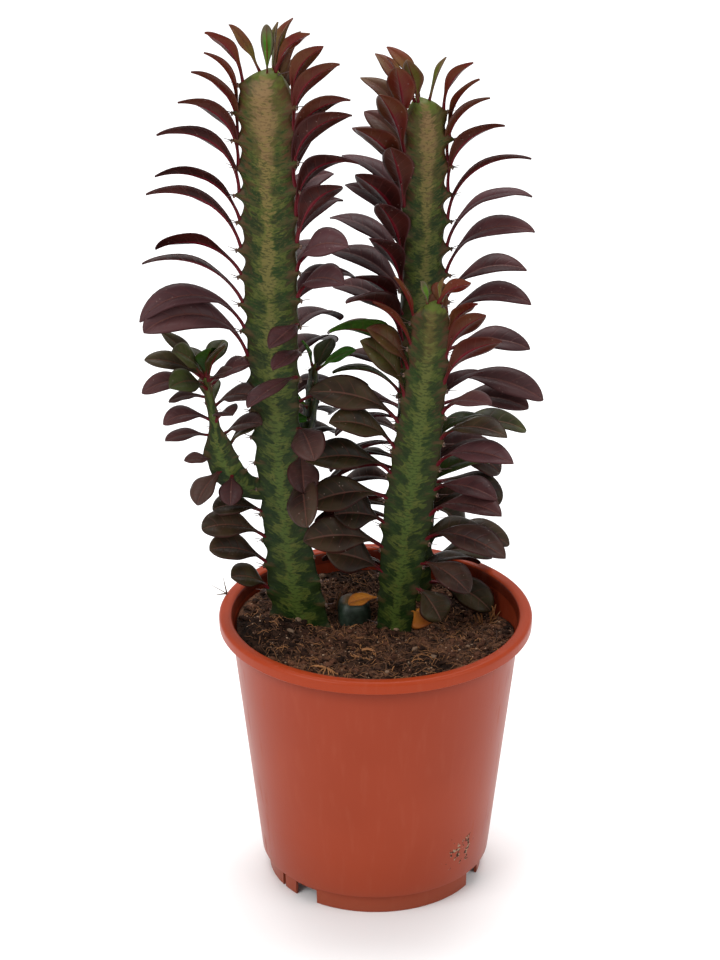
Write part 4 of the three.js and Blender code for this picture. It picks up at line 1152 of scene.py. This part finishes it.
class Coat:
    """The nodes of one material or shader group, and the colour laid on so far."""

    def __init__(self, tree):
        self.tree = tree
        self.at = None
        self.colour = None

    def plug(self, socket, value):
        if isinstance(value, Value):
            self.tree.links.new(value.socket, socket)
        else:
            socket.default_value = value

    def node(self, kind, inputs, out=0, **settings):
        """Adds a node and gives one of its outputs, or several where out names several."""
        made = self.tree.nodes.new("ShaderNode" + kind)
        for name, value in settings.items():
            setattr(made, name, value)
        for socket, value in inputs.items():
            self.plug(made.inputs[socket], value)
        if isinstance(out, tuple):
            return [Value(self, made.outputs[name]) for name in out]
        return Value(self, made.outputs[out])

    def sum(self, operation, a, b=0.0):
        return self.node("Math", {0: a, 1: b}, operation=operation)

    def blend(self, share, a, b):
        a, b = (shade(tone) if isinstance(tone, tuple) else tone for tone in (a, b))
        return self.node("Mix", {0: share, 6: a, 7: b}, 2, data_type="RGBA")

    def over(self, share, tone):
        """Lays a tone over the colour so far."""
        self.colour = self.blend(share, self.colour, tone)

    def point_map(self, name):
        stored = self.node("Attribute", {}, "Vector", attribute_name=name)
        return self.node("SeparateXYZ", {0: stored}, (0, 1, 2))

    def place(self, stretch=(1, 1, 1)):
        here = self.node("TexCoord", {}, "Object")
        return self.node("Mapping", {"Vector": here, "Scale": stretch})

    def height(self):
        return self.node("SeparateXYZ", {0: self.at}, 2)

    def far_from(self, spot):
        return self.node("VectorMath", {0: self.at, 1: spot}, "Value", operation="DISTANCE")

    def mottle(self, scale, detail, low, high, shift=0.0, place=None):
        """The mask and the raw noise of soft patches."""
        numbers = dict(Place=place or self.at, Scale=scale, Detail=detail, Low=low, High=high, Shift=shift)
        return self.node("Group", numbers, ("Mask", "Raw"), node_tree=MOTTLE)

    def specks(self, scale, size, amount):
        numbers = dict(Place=self.at, Scale=scale, Size=size, Amount=amount)
        return self.node("Group", numbers, "Mask", node_tree=SPECKS)

    def finish(self, rough, shine=None, height=None, strength=0.0, depth=0.0):
        """Wires colour, roughness, shine and bumps to the material's own shader."""
        skin = self.tree.nodes["Principled BSDF"].inputs
        self.plug(skin["Base Color"], self.colour)
        self.plug(skin["Roughness"], rough)
        if shine is not None:
            skin["Specular IOR Level"].default_value = shine
        if height is not None:
            bumps = {"Height": height, "Strength": strength, "Distance": depth}
            self.plug(skin["Normal"], self.node("Bump", bumps))


def new_group(name, numbers, masks):
    """A shader group with a Place, named numbers and named masks: its coat and its two ends."""
    tree = bpy.data.node_groups.new(name, "ShaderNodeTree")
    tree.interface.new_socket("Place", in_out="INPUT", socket_type="NodeSocketVector")
    for socket, value in numbers.items():
        made = tree.interface.new_socket(socket, in_out="INPUT", socket_type="NodeSocketFloat")
        made.default_value = value
    for socket in masks:
        tree.interface.new_socket(socket, in_out="OUTPUT", socket_type="NodeSocketFloat")
    coat = Coat(tree)
    given = {socket.name: Value(coat, socket) for socket in tree.nodes.new("NodeGroupInput").outputs}
    return coat, given, tree.nodes.new("NodeGroupOutput").inputs


def mottle_group():
    """Soft patches: a mask between Low and High of noise at Scale, at a Shift of its own."""
    numbers = dict(Scale=100.0, Detail=4.0, Low=0.4, High=0.6, Shift=0.0)
    coat, given, out = new_group("mottle", numbers, ("Mask", "Raw"))
    named = dict(Vector="Place", Scale="Scale", Detail="Detail", W="Shift")
    inputs = {socket: given[name] for socket, name in named.items()}
    clouds = coat.node("TexNoise", inputs, noise_dimensions="4D")
    coat.plug(out["Raw"], clouds)
    coat.plug(out["Mask"], clouds.step(given["Low"], given["High"]))
    return coat.tree


def specks_group():
    """Scattered round specks: a mask of cells whose draw is under Amount, each Size of its cell."""
    coat, given, out = new_group("specks", dict(Scale=400.0, Size=0.3, Amount=0.1), ("Mask",))
    inputs = {"Vector": given["Place"], "Scale": given["Scale"]}
    distance, tint = coat.node("TexVoronoi", inputs, ("Distance", "Color"))
    draw = coat.node("SeparateColor", {0: tint})
    near = coat.sum("LESS_THAN", distance, given["Size"])
    coat.plug(out["Mask"], near * coat.sum("LESS_THAN", draw, given["Amount"]))
    return coat.tree


MOTTLE = mottle_group()
SPECKS = specks_group()


def surface(name, look):
    """A material with the coat that its look gives it."""
    material = bpy.data.materials.new(name)
    material.use_nodes = True
    coat = Coat(material.node_tree)
    coat.at = coat.place()
    look(coat)
    return material


# Looks
def leaf_look(coat):
    u, v, upper = coat.point_map("place")
    young, green, chance = coat.point_map("nature")
    fading, low, _ = coat.point_map("state")
    shift = chance * 7
    patches, _ = coat.mottle(55, 3, 0.34, 0.66, shift)
    blotches, _ = coat.mottle(150, 4, 0.45, 0.7, shift)
    _, fine = coat.mottle(420, 5, 0.3, 0.7, shift)

    def patched(dark, light):
        return coat.blend(patches, dark, light)

    # Upper face: burgundy under a mauve-grey that is partly wax bloom and partly a painted sheen, olive-brown
    # when low on the stem
    top = coat.blend((chance + 0.2) * 0.45, patched((40, 18, 18), (68, 37, 37)), (92, 62, 66))
    olive = coat.blend(blotches * 0.35, patched((26, 19, 10), (54, 43, 25)), (48, 48, 22))
    top = coat.blend((low + chance * 0.2).step(0.55, 1), top, olive)
    top = coat.blend(young * 0.85, top, patched((100, 42, 24), (98, 78, 30)))
    # Lower face: dark red-brown
    under = patched((36, 11, 10), (56, 20, 16))
    under = coat.blend(young * 0.7, under, patched((106, 32, 22), (100, 58, 26)))
    coat.colour = coat.blend(upper, under, top)
    # Green leaves with a mauve margin when young, and fading orange ones
    leafy = coat.blend(young, patched((24, 42, 12), (48, 76, 22)), patched((70, 120, 34), (116, 140, 56)))
    leafy = coat.blend(green.step(0.85, 1), leafy, patched((46, 96, 20), (78, 124, 36)))
    edge = v.step(0.4, 0.85).larger(u.step(0.62, 0.95))
    coat.over(green, coat.blend(edge * young * 0.75, leafy, (98, 72, 72)))
    coat.over(fading, patched((120, 62, 22), (156, 98, 34)))
    # Midrib: broad and crimson below, a fine pale line above, and a crimson stalk
    breadth = u.step(0, 0.9, 0.36, 0.06)
    coat.over(v.step(breadth, breadth * 0.4) * (1 - upper) * 0.8, (96, 14, 28))
    coat.over(v.step(0.07, 0.02) * upper * 0.4, (112, 72, 62))
    coat.over(u.step(0.24, 0.1) * (0.9 - fading), (88, 14, 24))
    # Side veins, a dark margin and a few dry specks
    veins = coat.sum("PINGPONG", u * SIDE_VEINS + v * -VEIN_SLANT, 1).step(0.8, 1) * v.step(1, 0.3)
    coat.over(veins * 0.16, (104, 48, 44))
    coat.over(v.step(0.86, 1) * 0.5, (58, 14, 18))
    coat.over(coat.specks(620, 0.22, 0.05) * 0.3, (150, 130, 122))
    rough = fine.step(0.2, 0.8, 0.32, 0.5)
    coat.finish(rough, shine=0.12, height=fine * 0.4 + veins * -0.5, strength=0.35, depth=LEAF_BUMP)


def stem_look(coat):
    w, streak, s = coat.point_map("place")
    tooth, side, teeth = coat.point_map("nature")
    # Streaks climb from the middle of each face to its ribs
    climb = coat.node("CombineXYZ", {2: w * w * -STREAK_CLIMB})
    flat = coat.node("VectorMath", {0: coat.place((1, 1, STREAK_SQUEEZE)), 1: climb}, operation="ADD")
    broad, broad_raw = coat.mottle(70, 3, 0.35, 0.65, 1)
    ragged, ragged_raw = coat.mottle(190, 8, 0.4, 0.62, 4, flat)
    flecks, _ = coat.mottle(430, 6, 0.51, 0.57, 7, flat)
    _, net = coat.mottle(210, 5, 0.4, 0.6, 2, flat)
    net = coat.sum("ABSOLUTE", net - 0.5).step(0.035, 0.008)
    wobble = (ragged_raw - 0.5) * 1.5
    uneven = wobble + (broad_raw - 0.5) * 0.9
    outward, inward, toothy = w + wobble, w + uneven, tooth + uneven
    # A pale band down the middle of each face, wide between the teeth and narrow beside each one
    band = (outward - toothy.step(0.1, 0.75, 0.78, 0.3)).step(0.12, -0.12)
    centre = coat.blend(teeth.step(0.3, 0.95), (66, 80, 32), (108, 94, 52))
    pale = coat.blend(inward.step(0.32, 0.14), coat.blend(ragged, (58, 68, 24), (80, 84, 36)), centre)
    # Dark green blotches beside the teeth, blackish low on the stem
    dark = coat.blend(s.step(0.05, 0.9), (16, 36, 8), (34, 54, 14))
    coat.colour = coat.blend(band, coat.blend(broad, dark, (28, 38, 14)), pale)
    coat.over(net.larger((streak + wobble * 0.4).step(0.72, 0.9) * 0.8) * 0.3, centre)
    coat.over(flecks * 0.6, (26, 40, 12))
    # Brown flanks near the ribs, and tan and pinkish behind each tooth
    coat.over(outward.step(0.66, 1) * 0.75, coat.blend(s.step(0.2, 0.9), (24, 34, 10), (62, 42, 26)))
    coat.over(w.step(0.6, 0.9) * toothy.step(0.75, 1) * 0.4, (88, 62, 40))
    # Young skin at the tip, tan on the tall stems, with ruddy edges, flecks and a green end
    tip = (s + wobble * 0.5).step(0.8, 0.96) * (broad_raw + 0.3)
    tall = teeth.step(0.55, 1)
    olive = coat.blend(tall, (44, 46, 16), (78, 72, 32))
    tan = coat.blend(tall, (72, 64, 28), (126, 98, 66))
    young = coat.blend(inward.step(0.55, 0.35), olive, tan)
    young = coat.blend(outward.step(0.6, 1.05) * 0.8, young, (78, 42, 28))
    coat.over(coat.sum("MINIMUM", tip, 0.8), young)
    coat.over(flecks * tip * 0.4, (62, 50, 26))
    coat.over((s + uneven * 0.04).step(0.982, 1) * 0.8, (82, 96, 34))
    height = ragged_raw + band * 0.4 + side * side * 0.3
    rough = broad_raw.step(0.2, 0.8, 0.38, 0.56)
    coat.finish(rough, shine=0.13, height=height, strength=0.35, depth=STEM_BUMP)


def spine_look(coat):
    along, chance, cork = coat.point_map("nature")
    fine, _ = coat.mottle(900, 3, 0.35, 0.65, 2)
    coat.colour = coat.blend(along.step(0.3, 1), (44, 26, 24), (104, 78, 70))
    coat.over(chance * 0.4, (86, 54, 48))
    coat.over(cork, coat.blend(fine, (48, 34, 26), (128, 98, 82)))
    coat.finish(fine.step(0, 1, 0.4, 0.6))


def pot_look(coat):
    height = coat.height()
    clouds, _ = coat.mottle(14, 3, 0.3, 0.7)
    scuffs, _ = coat.mottle(260, 4, 0.5, 0.8, 3, coat.place((1, 1, SCUFF_STRETCH)))
    coat.colour = coat.blend(clouds, (140, 54, 29), (146, 58, 33))
    coat.over(height.step(*WARMER_HEIGHTS) * 0.55, (141, 52, 28))
    # Painted shade of the rim's shadow on the wall's top
    coat.over(height.step(*UNDER_RIM_SHADE_HEIGHTS) * 0.5, (118, 40, 20))
    rim = height.step((POT_HEIGHT - RIM_DROP - 0.3) * MM, (POT_HEIGHT - RIM_DROP + 0.3) * MM)
    coat.over(rim, (150, 53, 22))
    # Painted shade inside the pot, on the inner wall's top and the inner rim
    middle = coat.node("VectorMath", {0: coat.place((1, 1, 0))}, "Value", operation="LENGTH")
    inner = middle.step(WALL_TOP_RADIUS * MM, (WALL_TOP_RADIUS - 0.4) * MM)
    coat.over(inner * rim * 0.85, (78, 22, 10))
    coat.over(scuffs * 0.1, (176, 100, 76))
    # Splashed soil: thick on one side low down, a few specks elsewhere
    near = coat.far_from(SPLASH_SPOT).step(*SPLASH_REACH)
    _, splash = coat.mottle(330, 6, 0.5, 0.56, 9)
    clots = (splash + near * 0.14).step(0.66, 0.68) * near.step(0.05, 0.2)
    grit, _ = coat.mottle(700, 2, 0.5, 0.56, 12)
    coat.over(clots, coat.blend(grit, (48, 28, 18), (150, 126, 104)))
    coat.over(coat.specks(150, 0.1, 0.035), (70, 36, 24))
    coat.over(height.step(*DUSTY_HEIGHTS) * 0.25, (120, 84, 66))
    grain = coat.node("TexNoise", {"Vector": coat.at, "Scale": 900, "Detail": 3})
    rough = scuffs.step(0, 1, 0.33, 0.5) + clots * 0.4
    coat.finish(rough, shine=0.15, height=grain * 0.2 + clots, strength=0.25, depth=POT_BUMP)


def soil_look(coat):
    kind, chance, pale = coat.point_map("nature")
    coarse, coarse_raw = coat.mottle(130, 6, 0.4, 0.62)
    fine, fine_raw = coat.mottle(700, 6, 0.3, 0.7, 5)
    coat.colour = coat.blend(coarse, (17, 11, 8), (98, 66, 49))
    coat.over(fine * 0.55, (128, 90, 68))
    coat.over(kind.step(0.4, 0.9) * 0.4, (78, 42, 30))
    # Painted shade: near-black hollows in random patches and round each shaded spot
    hollow_shade, _ = coat.mottle(36, 3, 0.5, 0.6, 8)
    for spot, reach in SHADED_SPOTS:
        far = coat.far_from(spot) + (coarse_raw - 0.5) * SHADE_RAGGED
        hollow_shade = hollow_shade.larger(far.step(reach, reach * 0.5))
    coat.over(hollow_shade * 0.75, (14, 9, 7))
    coat.over(chance.step(0.5, 1) * 0.7, (22, 14, 10))
    # Near-black painted shade in small pits of the soil
    shaded_pits, _ = coat.mottle(380, 4, 0.54, 0.62, 6)
    coat.over(shaded_pits * 0.8, (12, 8, 6))
    coat.over(coat.specks(560, 0.26, 0.07) * 0.8, (168, 132, 108))
    coat.over(pale.step(0.45, 0.9), (172, 142, 118))
    rough = fine_raw.step(0.2, 0.8, 0.75, 0.98)
    coat.finish(rough, shine=0.1, height=coarse_raw + fine_raw * 0.5, strength=0.9, depth=SOIL_BUMP)


def fibre_look(coat):
    tone, chance, _ = coat.point_map("nature")
    strands, _ = coat.mottle(600, 3, 0.3, 0.7, 1)
    coat.colour = coat.blend(tone, (52, 30, 22), (172, 116, 66))
    coat.over(chance * 0.35, (92, 52, 34))
    coat.over(strands * 0.3, (90, 62, 46))
    coat.finish(0.8)


def stub_look(coat):
    broad, _ = coat.mottle(90, 4, 0.35, 0.65, 6)
    fine, fine_raw = coat.mottle(500, 4, 0.3, 0.7, 2)
    coat.colour = coat.blend(broad, (12, 24, 16), (30, 48, 34))
    coat.over(fine * 0.25, (58, 72, 56))
    coat.over(coat.height().step(*CORKY_HEIGHTS) * 0.8, (108, 74, 30))
    coat.finish(fine_raw.step(0.2, 0.8, 0.35, 0.6), height=fine_raw, strength=0.3, depth=STUB_BUMP)


def floor_look(coat):
    clouds, _ = coat.mottle(3, 2, 0.2, 0.8)
    coat.colour = coat.blend(clouds, (246, 246, 246), (249, 249, 249))
    coat.finish(0.9, shine=0.1)


# Camera, light and floor
def make_camera():
    """The photograph's view, fitted to the pot's rim, wall and foot."""
    camera = shown(bpy.data.objects.new("camera", bpy.data.cameras.new("camera")))
    camera.data.sensor_fit = "HORIZONTAL"
    camera.data.sensor_width = SENSOR_WIDTH
    camera.data.lens = SENSOR_WIDTH * FOCAL_PIXELS / PICTURE_WIDTH
    camera.data.clip_start = NEAREST
    camera.data.clip_end = FARTHEST
    camera.location = CAMERA_PLACE
    camera.rotation_euler = (math.radians(90 - CAMERA_DOWN), 0, CAMERA_TURN)
    bpy.context.scene.camera = camera


def make_studio():
    world = bpy.data.worlds.new("studio")
    world.use_nodes = True
    sky = world.node_tree.nodes["Background"]
    sky.inputs["Color"].default_value = (1, 1, 1, 1)
    sky.inputs["Strength"].default_value = SKY_STRENGTH
    bpy.context.scene.world = world
    bpy.context.scene.view_settings.view_transform = "Standard"
    for name, place, aim, size, power in LAMPS:
        lamp = shown(bpy.data.objects.new(name, bpy.data.lights.new(name, "AREA")))
        lamp.data.shape = "SQUARE"
        lamp.data.size = size
        lamp.data.energy = power
        lamp.location = place
        lamp.rotation_euler = (Vector(aim) - Vector(place)).to_track_quat("-Z", "Y").to_euler()
    mesh = bpy.data.meshes.new("floor")
    corners = [(x * FLOOR_REACH, y * FLOOR_REACH, 0) for x, y in ((-1, -1), (1, -1), (1, 1), (-1, 1))]
    mesh.from_pydata(corners, [], [(0, 1, 2, 3)])
    mesh.materials.append(surface("pale_floor", floor_look))
    shown(bpy.data.objects.new("floor", mesh))


def make_plant():
    skin_coat = surface("stem_skin", stem_look)
    leaf_coat = surface("leaf", leaf_look)
    thorn_coat = surface("thorn", spine_look)
    leaves = settled_leaves()
    for name, stem in STEMS.items():
        skin, spines, blades = Gatherer(), Gatherer(), Gatherer()
        add_stem_skin(skin, stem, STEM_BURIED)
        add_spines(spines, stem)
        for branch in BRANCHES.values() if name == BRANCH_NODE else ():
            add_stem_skin(skin, branch)
            add_spines(spines, branch)
        for leaf in leaves[name]:
            add_leaf(blades, leaf)
        skin.piece(name + "_skin", skin_coat, "plant_skin", name)
        blades.piece(name + "_leaves", leaf_coat, "plant_skin", name)
        spines.piece(name + "_spines", thorn_coat, "plant_skin", name)


make_camera()
make_studio()
make_pot(surface("terracotta_plastic", pot_look))
peat = surface("peat", soil_look)
coir = surface("coir", fibre_look)
make_soil(peat)
make_crumbs(peat)
make_fibres(coir)
make_dry_thorn(coir)
make_stub(surface("old_stub", stub_look))
make_plant()
